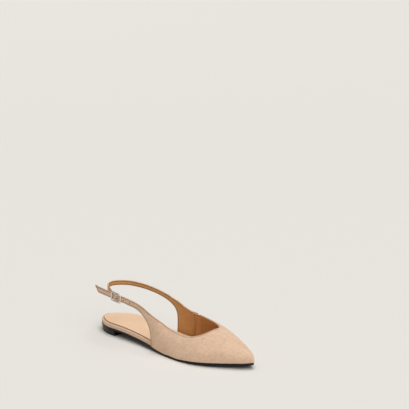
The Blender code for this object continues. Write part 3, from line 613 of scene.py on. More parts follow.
@dataclass
class Upper:
    """The vamp, the quarter and their straps: panels on the last, walled, lined and sewn."""

    last: Last
    wall: float = 0.0016
    lap_length: float = 0.009
    lap_layer: float = 0.0008
    lap_raise: float = 0.0005
    lap_ramp: float = 0.002
    lap_steepness: float = 8.0
    strap_width: float = 0.0086
    strap_height: float = 0.059
    tail_slant: float = 0.0075
    tail_slant_length: float = 0.012
    strap_root_length: float = 0.02
    sling_width: float = 0.0071
    loop_wall: float = 0.0011
    slot_length: float = 0.0036
    slot_width: float = 0.0022
    loop_slot_length: float = 0.0068
    hole_radius: float = 0.0009
    hole_pitch: float = 0.0109
    free_holes: int = 2
    bar: float = 0.0009
    centre_bar: float = 0.0008
    buckle_pitch: float = 0.0175
    loop_clearance: float = 0.0002
    centre_bar_station: float = 0.218
    lateral_corner_top: float = 0.535
    medial_corner_top: float = 0.480
    edge_roll: float = 0.0005
    feather_roll: float = 0.0010
    seam_inset: float = 0.0016
    seam_width: float = 0.0005
    seam_depth: float = 0.0002
    least_wall: float = 0.3
    covered_reach: float = 0.0024
    fold_fade: float = 0.006
    row_crowding: float = 0.7
    rows: int = 37
    step: float = 0.0008
    fold_step: float = 0.00022
    folds: tuple[Fold, ...] = (
        Fold(Side.LATERAL, (0.60, 0.10), (0.70, 0.30), 0.007, 0.0004),
        Fold(Side.LATERAL, (0.66, 0.08), (0.76, 0.26), 0.006, -0.0003),
        Fold(Side.MEDIAL, (0.62, 0.30), (0.72, 0.60), 0.007, 0.0004),
        Fold(Side.LATERAL, (0.40, 0.24), (0.47, 0.30), 0.005, 0.0004),
    )

    def __post_init__(self) -> None:
        """Space the rows closer together near both edges, and read the wings' back edges."""
        even = np.linspace(0.0, 1.0, self.rows)
        self.shares = even - self.row_crowding * np.sin(2 * math.pi * even) / (2 * math.pi)
        self.backs = {
            Side.LATERAL: read_table(WING_BACK_COLUMNS, LATERAL_WING_BACK),
            Side.MEDIAL: read_table(WING_BACK_COLUMNS, MEDIAL_WING_BACK),
        }
        self.buckle_path = Path(self.strap_points(BUCKLE_STRAP_ROWS) + [self.root_middle(Side.LATERAL)])
        self.buckle_place = self.find_buckle()

    def drape(self, side: Side, low: np.ndarray, high: np.ndarray, raised: np.ndarray | float = 0.0,
              wall: float | None = None) -> Panel:
        """Lay columns on the last between two lines of places.

        Args:
            side: the side of the shoe.
            low: station and height of each column's lower end.
            high: station and height of each column's upper end.
            raised: how far each column stands out.
            wall: the wall, where it isn't the upper's own.

        Returns:
            The panel.
        """
        grid = low[:, None, :] + (high - low)[:, None, :] * self.shares[None, :, None]
        points = self.last.point(grid[..., 0], grid[..., 1], side, raised)
        return Panel(side, points, np.full(len(points), self.wall if wall is None else wall))

    def wing(self, side: Side, count: int = 44) -> Panel:
        """Lay a wing, from the strap's root to its foot on the feather line."""
        run = np.linspace(0.0, 1.0, count, endpoint=False)
        back = self.backs[side]
        root = TOPLINE_ROWS[0][0]
        corner = self.lateral_corner_top if side is Side.LATERAL else self.medial_corner_top
        low = np.stack((back["station"](run), back["height"](run)), axis=-1)
        return self.drape(side, low, self.last.top(root + (corner - root) * run, side))

    def flank(self, side: Side, start: tuple[float, float], end: tuple[float, float], count: int,
              raised: Callable[[np.ndarray], np.ndarray] | None = None) -> Panel:
        """Lay a side between two lines, each a station at the feather line and at the opening."""
        run = np.linspace(0.0, 1.0, count)
        low = np.stack((start[0] + (end[0] - start[0]) * run, np.zeros(count)), axis=-1)
        high_run = np.sin(run * math.pi / 2) if end == THROAT_LINE else run
        high = self.last.top(start[1] + (end[1] - start[1]) * high_run, side)
        return self.drape(side, low, high, 0.0 if raised is None else raised(run)[:, None, None])

    def toe(self, side: Side, count: int = 80) -> Panel:
        """Lay the toe from the throat to its tip, the columns closer together near the tip."""
        run = np.sin(np.linspace(0.0, math.pi / 2, count))
        low = np.stack((THROAT_LINE[0] + (1.0 - THROAT_LINE[0]) * run, np.zeros(count)), axis=-1)
        high = np.stack((THROAT_LINE[1] + (1.0 - THROAT_LINE[1]) * run, np.ones(count)), axis=-1)
        return self.drape(side, low, high)

    def band(self, middle: np.ndarray, outwards: np.ndarray, up: np.ndarray, width: float,
             slant: float = 0.0) -> np.ndarray:
        """Give a strap's column of points, from its lower to its upper edge."""
        share = (self.shares - 0.5)[:, None]
        return middle + up * width * share + np.cross(outwards, up) * slant * share

    def strap_points(self, rows: Sequence[Sequence[float]]) -> list[np.ndarray]:
        """Turn strap rows of shares into points."""
        scale = np.array((self.last.length, self.last.ball_width, self.strap_height))
        return [np.array(row) * scale for row in rows]

    def root_middle(self, side: Side) -> np.ndarray:
        """Give the middle of the line where a wing becomes a strap."""
        root = self.wing(side, 2).points[0]
        return (root[0] + root[-1]) / 2

    @property
    def loop_radius(self) -> float:
        """Radius of the middle line of the sling's loop on the centre bar."""
        return self.centre_bar + self.loop_clearance + self.loop_wall / 2

    @property
    def end_bar_out(self) -> float:
        """How far outwards of the strap's middle the buckle's end bars lie."""
        return self.wall / 2 + self.last.gap + self.bar

    def strap_place(self, x: float) -> tuple[Vector, Vector, Vector]:
        """Give the buckle strap's middle at a place along the shoe, and its ways forwards and outwards."""
        run = self.buckle_path.run_at(x)
        along = Vector(self.buckle_path.direction(run))
        return Vector(self.buckle_path(run)), along, along.cross(UP).normalized()

    def find_buckle(self) -> Matrix:
        """Give the buckle's own axes: X along the strap, Y outwards, Z down across the strap."""
        middle, along, outwards = self.strap_place(self.centre_bar_station * self.last.length)
        return axes(along, outwards, along.cross(outwards).normalized(), middle)

    def buckle_strap(self) -> Panel:
        """Lay the buckle strap, from its free end to just short of the wing."""
        path = self.buckle_path
        centre = path(path.run_at(self.centre_bar_station * self.last.length))[0]
        start = path(0.0)[0]
        root = path(1.0)[0]
        reach = self.buckle_pitch / 2 - self.bar
        weave = self.loop_radius + self.loop_wall / 2 + self.last.gap + self.wall / 2
        wing_root = self.wing(Side.LATERAL, 2).points[0]
        columns = []
        for x in np.linspace(start, root, round((root - start) / self.step))[:-1]:
            run = path.run_at(x)
            along = path.direction(run)
            outwards = np.cross(along, UP)
            outwards /= np.linalg.norm(outwards)
            swing = math.cos(min(abs(x - centre) / reach, 1.0) * math.pi / 2) ** 2
            middle = path(run) + outwards * (weave * swing + self.wall / 2)
            slant = self.tail_slant * max(0.0, 1.0 - (x - start) / self.tail_slant_length)
            column = self.band(middle, outwards, -np.cross(along, outwards), self.strap_width, slant)
            share = smoothstep(1.0 - (root - x) / self.strap_root_length)
            columns.append(column * (1 - share) + (wing_root + path(run) - path(1.0)) * share)
        return Panel(Side.LATERAL, np.array(columns), np.full(len(columns), self.wall))

    def sling(self) -> Panel:
        """Lay the sling, from its folded end on the centre bar round the heel to the wing."""
        radius = self.loop_radius
        turns = np.linspace(math.pi / 2, -math.pi / 2, 9)
        local = [(along * radius, out * radius) for along, out in FOLD_OUTER_ROWS]
        local += [(radius * math.cos(turn), radius * math.sin(turn)) for turn in turns]
        local += [(along * radius, out * radius) for along, out in FOLD_INNER_ROWS]
        points = [self.root_middle(Side.MEDIAL)] + self.strap_points(SLING_ROWS)
        points += [np.array(self.buckle_place @ Vector((along, out, 0.0))) for along, out in local]
        path = Path(points)
        fold_start = len(SLING_ROWS)
        fold_run = float(path.knots[fold_start + 1])
        start_run = float(path.knots[fold_start - 1])
        plain = np.linspace(0.0, fold_run, round(fold_run * path.length / self.step))[1:]
        folded = np.linspace(fold_run, 1.0, round((1.0 - fold_run) * path.length / self.fold_step))[1:]
        wing_root = self.wing(Side.MEDIAL, 2).points[0]
        buckle_up = -np.array(self.buckle_place.col[2][:3])
        columns = []
        walls = []
        for run in np.concatenate((plain, folded)):
            along = path.direction(run)
            outwards = np.array((along[1], -along[0], 0.0)) / np.linalg.norm(along[:2])
            share = smoothstep((run - start_run) / (fold_run - start_run))
            up = np.array(UP) * (1 - share) + buckle_up * share
            up /= np.linalg.norm(up)
            wall = self.wall + (self.loop_wall - self.wall) * share
            column = self.band(path(run) + outwards * wall / 2, outwards, up, self.sling_width)
            blend = smoothstep(1.0 - run * path.length / self.strap_root_length)
            columns.append(column * (1 - blend) + (wing_root + path(run) - path(0.0)) * blend)
            walls.append(wall)
        return Panel(Side.MEDIAL, np.array(columns[::-1]), np.array(walls[::-1]))

    def vamp(self) -> Pattern:
        """Lay the vamp: toe, outer wing and buckle strap."""
        strap = self.buckle_strap()
        wing = self.wing(Side.LATERAL)
        foot = (LATERAL_WING_BACK[-1][1], self.lateral_corner_top)
        flank = self.flank(Side.LATERAL, foot, THROAT_LINE, 100)
        outer = Panel.joined([strap, wing, flank, self.toe(Side.LATERAL)]).eased(len(strap.points))
        sunk = self.lap_layer + self.last.gap - self.lap_raise
        lap_share = (self.lap_length + sunk) / self.last.length / (THROAT_LINE[0] - SEAM_LINE[0])

        def lap_sink(run: np.ndarray) -> np.ndarray:
            """Sink the flank under the quarter's lap."""
            return -sunk * (1.0 - smoothstep((run / lap_share - 1.0) * self.lap_steepness))

        inner_flank = self.flank(Side.MEDIAL, SEAM_LINE, THROAT_LINE, 100, lap_sink)
        inner = Panel.joined([inner_flank, self.toe(Side.MEDIAL)])
        edge_end = len(strap.points) + len(wing.points)
        throat = edge_end + len(flank.points)
        edges = [
            outer.rim(Rim.TOP, 0, throat),
            outer.rim(Rim.BOTTOM, 0, edge_end + 1),
            outer.rim(Rim.START),
            inner.rim(Rim.TOP, 0, len(inner_flank.points)),
            inner.rim(Rim.START),
        ]
        feet = [outer.rim(Rim.BOTTOM, edge_end)[0], inner.rim(Rim.BOTTOM)[0]]
        return Pattern([outer, inner], edges, feet)

    def quarter(self) -> Pattern:
        """Lay the quarter: the inner wing and the sling, lapped on the vamp."""
        sling = self.sling()
        wing = self.wing(Side.MEDIAL)
        foot = (MEDIAL_WING_BACK[-1][1], self.medial_corner_top)
        lap = (self.lap_length - self.last.gap) / self.last.length
        flank = self.flank(Side.MEDIAL, foot, (SEAM_LINE[0] + lap, SEAM_LINE[1] + lap), 60, self.lap_rise)
        share = self.lap_rise(np.linspace(0.0, 1.0, len(flank.points))) / self.lap_raise
        flank.walls = self.wall + (self.lap_layer - self.wall) * share
        whole = Panel.joined([sling, wing, flank]).eased(len(sling.points))
        edge_end = len(sling.points) + len(wing.points)
        edges = [
            whole.rim(Rim.TOP),
            whole.rim(Rim.BOTTOM, 0, edge_end + 1),
            whole.rim(Rim.START),
            whole.rim(Rim.END),
        ]
        return Pattern([whole], edges, [whole.rim(Rim.BOTTOM, edge_end)[0]])

    def lap_rise(self, run: np.ndarray) -> np.ndarray:
        """Say how far the quarter's flank stands out, up to its lap on the vamp."""
        foot = MEDIAL_WING_BACK[-1][1]
        length = (SEAM_LINE[0] - foot) * self.last.length + self.lap_length
        before_lap = (run * length - (length - self.lap_length - self.lap_ramp)) / self.lap_ramp
        return self.lap_raise * smoothstep(before_lap)

    def surface(self, pattern: Pattern) -> bmesh.types.BMesh:
        """Make a part's outer face, with its rolled edges, sewn troughs and folds.

        Args:
            pattern: the part's grids and edges.

        Returns:
            The face, with each point's wall, and its distance to a sewn edge in millimetres.
        """
        bm = bmesh.new()
        edge_layer = bm.verts.layers.float.new("edge")
        wall_layer = bm.verts.layers.deform.verify()
        for panel in pattern.panels:
            made = add_grid(bm, panel.points, flip=panel.side is Side.MEDIAL)
            for vertex, wall in zip(made, np.repeat(panel.walls, panel.points.shape[1])):
                vertex[wall_layer][0] = float(wall / self.wall)
        bmesh.ops.remove_doubles(bm, verts=bm.verts, dist=MERGE)
        bm.normal_update()
        sewn = self.tree([line for line, _ in pattern.edges])
        lower = self.tree(pattern.feet)
        points = np.array([vertex.co for vertex in bm.verts])
        drops = sum(fold.drop(self.last, points) for fold in self.folds)
        moves = []
        for vertex, drop in zip(bm.verts, drops):
            apart = sewn.find(vertex.co)[2]
            roll = self.rolled(apart, self.edge_roll)
            trough = self.seam_depth * math.exp(-((apart - self.seam_inset) / self.seam_width) ** 2)
            lowered = roll + trough + self.rolled(lower.find(vertex.co)[2], self.feather_roll)
            vertex[edge_layer] = apart * MILLIMETRES
            vertex[wall_layer][0] = max(vertex[wall_layer][0] - lowered / self.wall, self.least_wall)
            moves.append(vertex.normal * (lowered + float(drop * smoothstep(apart / self.fold_fade))))
        for vertex, move in zip(bm.verts, moves):
            vertex.co -= move
        bm.normal_update()
        return bm

    @staticmethod
    def rolled(apart: float, radius: float) -> float:
        """Say how far an edge's round lowers a point at a distance from the edge."""
        inside = radius - min(apart, radius)
        return radius - math.sqrt(max(radius * radius - inside * inside, 0.0))

    @staticmethod
    def tree(lines: Sequence[np.ndarray], spacing: float = 0.0001) -> KDTree:
        """Make a search tree of points spaced along lines."""
        samples = []
        for line in lines:
            runs = measured(line)
            samples.append(walked(line, runs, np.linspace(0.0, runs[-1], max(int(runs[-1] / spacing), 2))))
        places = np.concatenate(samples)
        tree = KDTree(len(places))
        for i, place in enumerate(places):
            tree.insert(place, i)
        tree.balance()
        return tree

    def build(self, shop: Workshop, palette: Palette) -> None:
        """Build the vamp and the quarter with their threads."""
        pattern = self.vamp()
        vamp = self.part(shop, "vamp", "upper_vamp", pattern, palette, pattern.edges[-1])
        quarter = self.part(shop, "quarter", "upper_quarter_strap", self.quarter(), palette)
        self.cut_holes(shop, vamp)
        slot = bmesh.new()
        bmesh.ops.create_cube(slot, size=1.0)
        size = (self.loop_slot_length, 4 * self.loop_radius, self.slot_width)
        bmesh.ops.scale(slot, vec=size, verts=slot.verts)
        self.cut(shop, quarter, slot, self.buckle_place)

    def part(self, shop: Workshop, name: str, node: str, pattern: Pattern, palette: Palette,
             lined: Edge | None = None) -> bpy.types.Object:
        """Build one part of the upper and its thread.

        Args:
            shop: makes the pieces.
            name: the part's name.
            node: the solid that it stands for.
            pattern: its grids and edges.
            palette: the materials.
            lined: the edge that the lining covers, if any.

        Returns:
            The part's piece.
        """
        bm = self.surface(pattern)
        finder = BVHTree.FromBMesh(bm)
        stitching = Stitching()
        thread = stitching.sew(place for edge in pattern.edges
                               for place in stitching.places(edge, finder, self))
        # The last material, the dark sock_edge finish, walls the cut holes and slot as painted shade
        materials = [palette[layer] for layer in ("suede", "lining", "raw_edge", "sock_edge")]
        piece = shop.piece(f"{name}_suede", bm, "suede", materials, node)
        piece.vertex_groups.new(name="wall")
        solid = piece.modifiers.new("wall", "SOLIDIFY")
        solid.thickness = self.wall
        solid.offset = -1
        solid.vertex_group = "wall"
        solid.material_offset = LINING_FACES
        solid.material_offset_rim = EDGE_FACES
        shop.settle(piece)
        if lined is not None:
            covered = self.tree([lined[0] + np.array(shop.origin)])
            for face in piece.data.polygons:
                if face.material_index == EDGE_FACES and covered.find(face.center)[2] < self.covered_reach:
                    face.material_index = LINING_FACES
        shop.piece(f"{name}_thread", thread, "suede", [palette["thread"]])
        return piece

    @staticmethod
    def cut(shop: Workshop, piece: bpy.types.Object, bm: bmesh.types.BMesh, place: Matrix) -> None:
        """Cut a hole through a finished piece, walled with the last of its materials, the dark sock_edge
        finish, which paints the shade inside the hole.
        """
        bmesh.ops.transform(bm, matrix=Matrix.Translation(shop.origin) @ place, verts=bm.verts)
        for face in bm.faces:
            face.material_index = len(piece.data.materials) - 1
        cutter = add_object("cutter", bm, piece.data.materials)
        boolean = piece.modifiers.new("hole", "BOOLEAN")
        boolean.operation = "DIFFERENCE"
        boolean.solver = "EXACT"
        boolean.object = cutter
        shop.settle(piece)
        bpy.data.objects.remove(cutter)

    def cut_holes(self, shop: Workshop, piece: bpy.types.Object) -> None:
        """Cut the prong's slot and the free holes ahead of the buckle."""
        centre_x = self.buckle_place.translation.x
        for number in range(self.free_holes + 1):
            bm = bmesh.new()
            bmesh.ops.create_cone(bm, cap_ends=True, segments=24, radius1=self.hole_radius,
                                  radius2=self.hole_radius, depth=6 * self.wall)
            if number == 0:
                for vertex in bm.verts:
                    stretch = self.slot_length / 2 - self.hole_radius
                    vertex.co.x += math.copysign(stretch, vertex.co.x)
            distance = self.slot_length / 2 + self.bar + self.hole_pitch * number
            middle, along, outwards = self.strap_place(centre_x + distance)
            if number == 0:
                middle += outwards * self.wall
            self.cut(shop, piece, bm, axes(along, outwards.cross(along), outwards, middle))


@dataclass(frozen=True)
class Stitching:
    """A row of stitches along an edge, on the suede and on the lining behind it."""

    pitch: float = 0.0021
    length: float = 0.0015
    radius: float = 0.00036
    slant: float = math.radians(6.0)

    def places(self, edge: Edge, finder: BVHTree, upper: Upper) -> Iterable[Matrix]:
        """Find where the stitches of one edge lie.

        Args:
            edge: its points, and the direction from each into the panel.
            finder: finds places on the outer face.
            upper: the upper that is sewn.

        Yields:
            The place of each stitch, on the outer face and then on the lining.
        """
        line, inside = edge
        runs = measured(line)
        for number in range(1, int(runs[-1] / self.pitch)):
            at = number * self.pitch
            here, ahead = (Vector(walked(line, runs, at + step)) for step in (0.0, self.length / 4))
            inwards = Vector(walked(inside, runs, at))
            along = (ahead - here).normalized()
            inwards = (inwards - along * inwards.dot(along)).normalized()
            place, normal, _, _ = finder.find_nearest(here + inwards * upper.seam_inset)
            yield self.place(place, along, normal)
            yield self.place(place - normal * (upper.wall - upper.seam_depth), along, -normal)

    def place(self, middle: Vector, along: Vector, normal: Vector) -> Matrix:
        """Give the place of one stitch, which slants a little across its row."""
        along = (along - normal * along.dot(normal)).normalized()
        return axes(along, normal.cross(along), normal, middle) @ Matrix.Rotation(self.slant, 4, "Z")

    def sew(self, places: Iterable[Matrix]) -> bmesh.types.BMesh:
        """Make a stitch at each place, a short round-ended length of thread."""
        single = bmesh.new()
        bmesh.ops.create_uvsphere(single, u_segments=8, v_segments=5, radius=self.radius)
        bmesh.ops.scale(single, vec=(self.length / 2 / self.radius, 1.0, 1.0), verts=single.verts)
        stitch = bpy.data.meshes.new("stitch")
        single.to_mesh(stitch)
        single.free()
        thread = bmesh.new()
        for place in places:
            placed = stitch.copy()
            placed.transform(place)
            thread.from_mesh(placed)
            bpy.data.meshes.remove(placed)
        bpy.data.meshes.remove(stitch)
        return thread


@dataclass(frozen=True)
class Ring:
    """One turn round a plate: how far inside its outline, at what share of its height, and a lift."""

    inset: float
    share: float
    lift: float = 0.0
    material: int = 0

    @staticmethod
    def rounded(radius: float, top: bool, inset: float = 0.0, material: int = 0,
                steps: int = 5) -> list["Ring"]:
        """Give the rings of a rounded edge, from below upwards."""
        rings = []
        for turn in (math.pi / 2 * step / (steps - 1) for step in range(steps)):
            low, high = radius * (1 - math.cos(turn)), radius * (1 - math.sin(turn))
            ring = (inset + low, 1.0, -high) if top else (inset + high, 0.0, low)
            rings.append(Ring(*ring, material))
        return rings


SideAt = Callable[[float, Side], float]


class Plate:
    """A plate of the shoe's bottom: rings up its side, closed across at both ends."""

    def __init__(self, start: float, end: float, side_at: SideAt, open_front: bool = False,
                 count: int = 110) -> None:
        """Measure the plate's outline.

        Args:
            start: where it starts.
            end: where it ends.
            side_at: gives its side at a place.
            open_front: end it with a straight edge.
            count: how many points each side has.
        """
        if open_front:
            runs = 1 - np.cos(np.linspace(0.5 / count, 1.0, count) * math.pi / 2)
        else:
            runs = (1 - np.cos((np.arange(count) + 0.5) / count * math.pi)) / 2
        self.x = start + (end - start) * runs
        self.sides = {side: np.array([float(side_at(x, side)) for x in self.x]) for side in Side}
        lateral = np.stack((self.x, -self.sides[Side.LATERAL]), axis=-1)
        medial = np.stack((self.x, self.sides[Side.MEDIAL]), axis=-1)
        self.outline = np.concatenate((lateral, medial[::-1]))
        ahead = np.roll(self.outline, -1, axis=0) - self.outline
        ahead /= np.linalg.norm(ahead, axis=1, keepdims=True)
        after = np.stack((-ahead[:, 1], ahead[:, 0]), axis=-1)
        before = np.roll(after, 1, axis=0)
        self.inwards = (after + before) / (1 + (after * before).sum(axis=1, keepdims=True))

    def build(self, bottom: Callable[[float], float], top: Callable[[float], float], rings: Sequence[Ring],
              cuts: int = 4, dish: Callable[[float, float], float] = lambda x, across: 0.0,
              ) -> bmesh.types.BMesh:
        """Build the plate.

        Args:
            bottom: gives the height of its lower face at a place along the shoe.
            top: gives the height of its upper face.
            rings: its rings, from below upwards.
            cuts: how many times the rungs across the upper face are cut.
            dish: gives how far the upper face is lowered, at a place and a share of the side.

        Returns:
            The closed solid.
        """
        bm = bmesh.new()
        order = bm.verts.layers.int.new("order")
        turn = bmesh.ops.create_circle(bm, segments=len(self.outline), radius=1.0)["verts"]
        for number, vertex in enumerate(turn):
            vertex[order] = number
        edges = bm.edges[:]
        first_edges = edges
        for number, ring in enumerate(rings):
            if number:
                turn, edges = grown(bm, edges)
                for face in {face for edge in edges for face in edge.link_faces}:
                    face.material_index = ring.material
            for vertex in turn:
                x, y = self.outline[vertex[order]] + self.inwards[vertex[order]] * ring.inset
                low = float(bottom(x))
                vertex.co = (x, y, low + (float(top(x)) - low) * ring.share + ring.lift)
        self.close(bm, first_edges, order)
        for vertex in self.close(bm, edges, order, cuts):
            side = Side.MEDIAL if vertex.co.y > 0 else Side.LATERAL
            across = vertex.co.y / float(np.interp(vertex.co.x, self.x, self.sides[side]))
            vertex.co.z = float(top(vertex.co.x)) + rings[-1].lift - dish(vertex.co.x, across)
        bm.verts.layers.int.remove(order)
        bmesh.ops.recalc_face_normals(bm, faces=bm.faces)
        return bm

    def close(self, bm: bmesh.types.BMesh, edges: Sequence[bmesh.types.BMEdge],
              order: bmesh.types.BMLayerItem, cuts: int = 0) -> list[bmesh.types.BMVert]:
        """Close a ring with rungs from side to side, and cut them.

        Args:
            bm: the plate.
            edges: the ring's edges.
            order: holds each point's number round the outline.
            cuts: how many times each rung is cut.

        Returns:
            The new points.
        """
        last = len(self.outline) - 1
        rails = [edge for edge in edges if sum(vertex[order] for vertex in edge.verts) != last]
        made = bmesh.ops.bridge_loops(bm, edges=rails)
        rungs = [edge for edge in made["edges"] if sum(vertex[order] for vertex in edge.verts) == last]
        rungs = [edge for edge in rungs if edge not in edges]
        if not cuts:
            return []
        cut = bmesh.ops.subdivide_edges(bm, edges=rungs, cuts=cuts, use_grid_fill=True)
        return [item for item in cut["geom_inner"] if isinstance(item, bmesh.types.BMVert)]


@dataclass
class Bottom:
    """The outsole, the heel block, the wrapped board and the sock on it."""

    last: Last
    upper: Upper
    sole_inset: float = 0.0005
    sole_edge: float = 0.0006
    sole_top_edge: float = 0.0003
    heel_length: float = 0.0448
    heel_taper: float = 0.0006
    heel_edge: float = 0.0006
    board_height: float = 0.005
    board_front_height: float = 0.0032
    board_edge: float = 0.0014
    board_groove: float = 0.0003
    board_groove_width: float = 0.0006
    board_groove_drop: float = 0.0022
    board_step_length: float = 0.045
    sock_thickness: float = 0.001
    sock_inset: float = 0.0022
    sock_edge: float = 0.0004
    sock_dish: float = 0.0007
    sock_dish_end: float = 0.09
    sock_dish_fade: float = 0.05
    sock_end_width: float = 0.018
    inner_heights: tuple[float, float, int] = (0.02, 0.38, 19)

    def wing_foot(self, side: Side) -> float:
        """Give where the foot of a wing stands along the shoe."""
        rows = LATERAL_WING_BACK if side is Side.LATERAL else MEDIAL_WING_BACK
        return rows[-1][1] * self.last.length

    def board_top(self, x: float) -> float:
        """Give the thickness of the wrapped board, less under the forefoot."""
        start = self.wing_foot(Side.MEDIAL)
        reach = self.wing_foot(Side.LATERAL) - start + self.heel_length
        share = smoothstep((x - start) / reach)
        return self.board_height + (self.board_front_height - self.board_height) * share

    def inner_face(self, x: float, side: Side, level: float) -> float:
        """Give how far out the upper's inner face stands at a level above the feather line."""
        heights = np.linspace(*self.inner_heights)
        points = self.last.point(x / self.last.length, heights, side, -self.upper.wall)
        below = points[:, 2] - self.last.foot(x) <= level + self.last.gap
        inner = side.value * points[np.logical_and.accumulate(below), 1]
        plain = float(self.last.half_width(x, side)) - self.upper.wall
        return min([plain, *inner]) - self.last.gap

    def board_side(self, x: float, side: Side) -> float:
        """Give the side of the board: flush behind the wings, inside the upper ahead."""
        share = smoothstep((x - self.wing_foot(side) + self.board_step_length) / self.board_step_length)
        behind = self.drawn_in(float(self.last.half_width(x, side)), self.sole_inset)
        inside = self.inner_face(x, side, self.board_top(x))
        return max(behind + (min(inside, behind) - behind) * share, 0.0)

    def sock_side(self, x: float, side: Side) -> float:
        """Give the side of the sock, inside the board's edge and the upper's inner face."""
        behind = self.drawn_in(self.board_side(x, side), self.sock_inset, self.sock_end_width)
        level = self.board_top(x) + self.last.gap + self.sock_thickness
        inside = self.inner_face(x, side, level) - self.last.gap
        share = smoothstep((x - self.wing_foot(side)) / self.board_step_length)
        return max(behind + (min(inside, self.board_side(x, side)) - behind) * share, 0.0)

    @staticmethod
    def drawn_in(side: float, inset: float, end_width: float = 0.008) -> float:
        """Draw a side in, by less where the plate is narrower than a width at its ends."""
        return side - inset * min(side / end_width, 1.0)

    def inside_feather(self, start: float, end: float, inset: float) -> SideAt:
        """Make the side of a plate that keeps inside the feather line all round."""
        def side_at(x: float, side: Side) -> float:
            """Draw the feather line in, fitted between the two ends."""
            along = (x - start) / (end - start) * self.last.length
            return self.drawn_in(float(self.last.half_width(along, side)), inset)
        return side_at

    def round_ended(self, side_of: SideAt, start: float, end: float) -> SideAt:
        """Make the side of a plate that starts at a round back and closes at a round toe."""
        def side_at(x: float, side: Side) -> float:
            """Shift the last's own round to the start, and add one at the end."""
            along = (x - start) * self.last.length / (self.last.length - start)
            toe = 1.0 - min(max((end - x) / self.last.toe_round, 0.0), 1.0)
            return side_of(along, side) * math.sqrt(1.0 - toe * toe)
        return side_at

    def build(self, shop: Workshop, palette: Palette) -> None:
        """Build the four pieces."""
        self.build_outsole(shop, palette)
        self.build_heel(shop, palette)
        self.build_board(shop, palette)
        self.build_sock(shop, palette)

    def build_outsole(self, shop: Workshop, palette: Palette) -> None:
        """Build the outsole, a thin plate from heel to toe."""
        start = self.sole_inset
        end = self.last.length - self.sole_inset
        rings = Ring.rounded(self.sole_edge, top=False) + Ring.rounded(self.sole_top_edge, top=True)
        plate = Plate(start, end, self.inside_feather(start, end, self.sole_inset))
        bm = plate.build(lambda x: self.last.seat(x) - self.last.sole, self.last.seat, rings)
        shop.piece("sole_rubber", bm, "black_rubber", [palette["black_rubber"]], "outsole")

    def build_heel(self, shop: Workshop, palette: Palette) -> None:
        """Build the low heel block, with a straight front face."""
        start = self.sole_inset + self.heel_edge
        under = self.last.sole + self.last.gap
        rings = Ring.rounded(self.heel_edge, top=False, inset=self.heel_taper)
        rings += Ring.rounded(self.sole_top_edge, top=True)
        side_at = self.inside_feather(start, self.last.length, self.sole_inset + self.heel_edge / 2)
        plate = Plate(start, self.heel_length, side_at, open_front=True)
        bm = plate.build(lambda x: 0.0, lambda x: self.last.seat(x) - under, rings)
        shop.piece("heel_rubber", bm, "black_rubber", [palette["black_rubber"]], "heel_block")

    def build_board(self, shop: Workshop, palette: Palette) -> None:
        """Build the wrapped board, which shows as a band behind the wings."""
        start = 2 * self.sole_inset
        end = self.last.length - self.last.nose_round - self.upper.wall
        rings = Ring.rounded(self.sole_top_edge, top=False)
        for off in np.linspace(-1.0, 1.0, 9):
            depth = self.board_groove * math.cos(off * math.pi / 2) ** 2
            rings.append(Ring(depth, 1.0, self.board_groove_width * off - self.board_groove_drop))
        rings += Ring.rounded(self.board_edge, top=True, steps=8)
        plate = Plate(start, end, self.round_ended(self.board_side, start, end))
        bm = plate.build(self.last.foot, lambda x: self.last.seat(x) + self.board_top(x), rings)
        shop.piece("board_wrap", bm, "suede", [palette["board_suede"]], "insole_board")

    def build_sock(self, shop: Workshop, palette: Palette) -> None:
        """Build the sock, a little dished under the heel, with its edge in dark brown, a painted shade for
        the shadow line between board and sock.
        """
        start = 2 * self.sole_inset + self.sock_inset
        end = self.last.length - self.last.toe_round - self.last.nose_round

        def dish(x: float, across: float) -> float:
            """Lower the middle of the heel."""
            behind = float(smoothstep((self.sock_dish_end - x) / self.sock_dish_fade))
            return self.sock_dish * behind * (1.0 - min(across * across, 1.0))

        def under(x: float) -> float:
            """Give the height of the sock's lower face."""
            return self.last.seat(x) + self.board_top(x) + self.last.gap

        # The rounded edge takes the dark sock_edge finish: painted shade for the shadow line between board
        # and sock
        rings = [Ring(0.0, 0.0)] + Ring.rounded(self.sock_edge, top=True, material=1)
        rings.append(Ring(self.sock_edge * 2, 1.0))
        plate = Plate(start, end, self.round_ended(self.sock_side, start, end))
        bm = plate.build(under, lambda x: under(x) + self.sock_thickness, rings, cuts=20, dish=dish)
        materials = [palette["sock_leather"], palette["sock_edge"]]
        shop.piece("sock_lining", bm, "sock_leather", materials, "sock")


